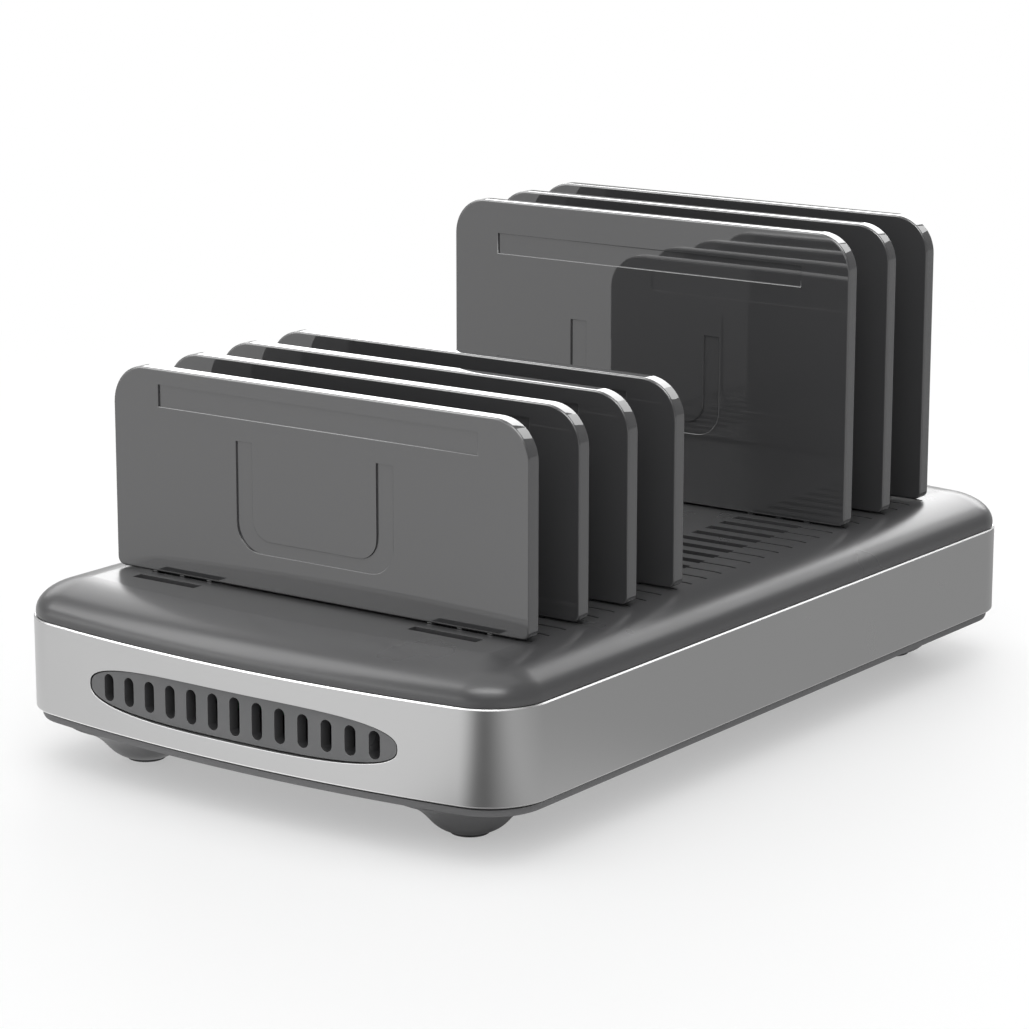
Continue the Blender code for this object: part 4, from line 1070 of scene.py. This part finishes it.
def makeFloor():
    # White paper that camera rays see fade to plain white, and mirror rays in steps of grey.
    look = stageLook
    deselectAll()
    bpy.ops.mesh.primitive_plane_add(size=look["floorSize"], location=(0, 0, 0))
    floor = bpy.context.object
    floor.name = "studioFloor"
    made, tree, shader, place = startMaterial("whitePaperSweep", look["floorColour"], 0.7)
    reach = addNode(tree, "VectorMath", {"operation": "LENGTH", 0: place}).outputs["Value"]
    # The floor's own shadow shows fully under the case and only in part beside it.
    across = addNode(tree, "VectorMath", {"operation": "ABSOLUTE", 0: place}).outputs[0]
    beside = addNode(tree, "VectorMath", {"operation": "SUBTRACT", 0: across,
                                          1: (halfLength, halfWidth, 0)}).outputs[0]
    sides = addNode(tree, "SeparateXYZ", {0: beside}).outputs
    outside = addNode(tree, "Math", {"operation": "MAXIMUM", 0: sides["X"], 1: sides["Y"]})
    close = smoothRange(tree, outside.outputs[0], look["shadowFrom"], look["shadowTo"],
                        look["underWhite"], look["nearWhite"])
    share = smoothRange(tree, reach, look["whiteFrom"], look["whiteAt"], close, 1.0)
    rays = addNode(tree, "LightPath").outputs
    turn = addNode(tree, "TexGradient", {"gradient_type": "RADIAL", 0: place}).outputs["Fac"]
    ramp = addNode(tree, "ValToRGB", {"Fac": turn})
    steps = ramp.color_ramp.elements
    for number, (degrees, level) in enumerate(look["floorMirror"].items()):
        step = steps[number] if number < 2 else steps.new(1.0)
        step.position = degrees / 360 + 0.5
        step.color = (level, level, level, 1)
    mirrored = rays["Is Glossy Ray"]
    seen = addNode(tree, "Mix", {"data_type": "RGBA", 0: mirrored, 6: white,
                                 7: ramp.outputs["Color"]})
    plain = addNode(tree, "Emission", {"Strength": 1.0, "Color": seen.outputs[2]})
    far = addNode(tree, "Math", {"operation": "MULTIPLY", 0: share, 1: rays["Is Camera Ray"]})
    factor = addNode(tree, "Math", {"operation": "MAXIMUM", 0: far.outputs[0], 1: mirrored})
    mix = addNode(tree, "MixShader", {0: factor.outputs[0], 1: shader.outputs[0],
                                      2: plain.outputs[0]})
    tree.links.new(mix.outputs[0], tree.nodes["Material Output"].inputs["Surface"])
    floor.data.materials.append(made)


def makeWorld():
    # The camera sees white, surfaces are lit evenly, and mirror rays see one side brighter.
    look = stageLook
    world = bpy.data.worlds.new("whiteRoom")
    bpy.context.scene.world = world
    world.use_nodes = True
    tree = world.node_tree
    way = addNode(tree, "TexCoord").outputs["Generated"]
    facing = addNode(tree, "VectorMath", {"operation": "DOT_PRODUCT", 0: way, 1: look["litSide"]})
    level = smoothRange(tree, facing.outputs["Value"], look["dimUnder"], look["brightOver"],
                        look["mirrorDim"], look["mirrorBright"])
    rays = addNode(tree, "LightPath").outputs
    strength = addNode(tree, "Mix", {"data_type": "FLOAT", 0: rays["Is Glossy Ray"],
                                     2: look["fill"], 3: level})
    room = tree.nodes["Background"]
    room.inputs["Color"].default_value = white
    tree.links.new(strength.outputs[0], room.inputs["Strength"])
    backdrop = addNode(tree, "Background", {"Strength": 1.0, "Color": white})
    mix = addNode(tree, "MixShader", {0: rays["Is Camera Ray"], 1: room.outputs[0],
                                      2: backdrop.outputs[0]})
    tree.links.new(mix.outputs[0], tree.nodes["World Output"].inputs["Surface"])


def makeLights():
    for name, box in softBoxes.items():
        deselectAll()
        bpy.ops.object.light_add(type="AREA", location=box["place"])
        lamp = bpy.context.object
        lamp.name = name
        lamp.data.shape = "RECTANGLE"
        lamp.data.size, lamp.data.size_y = box["size"]
        lamp.data.energy = box["power"]
        lamp.visible_diffuse = box.get("lights", False)
        aim = Vector(lightAim) - Vector(box["place"])
        lamp.rotation_euler = aim.to_track_quat("-Z", "Y").to_euler()


def makeCamera():
    deselectAll()
    bpy.ops.object.camera_add(location=cameraPlace["position"])
    camera = bpy.context.object
    turn = (Matrix.Rotation(math.radians(90 + cameraPlace["heading"]), 4, "Z")
            @ Matrix.Rotation(math.radians(90 - cameraPlace["fall"]), 4, "X")
            @ Matrix.Rotation(math.radians(cameraPlace["roll"]), 4, "Z"))
    camera.rotation_euler = turn.to_euler()
    camera.data.lens = cameraPlace["lens"]
    camera.data.sensor_width = cameraPlace["sensor"]
    camera.data.clip_end = cameraPlace["reach"]
    bpy.context.scene.camera = camera


makeFloor()
makeWorld()
makeLights()
makeCamera()
bpy.context.scene.view_settings.view_transform = "Standard"
print("stage, light and camera set")
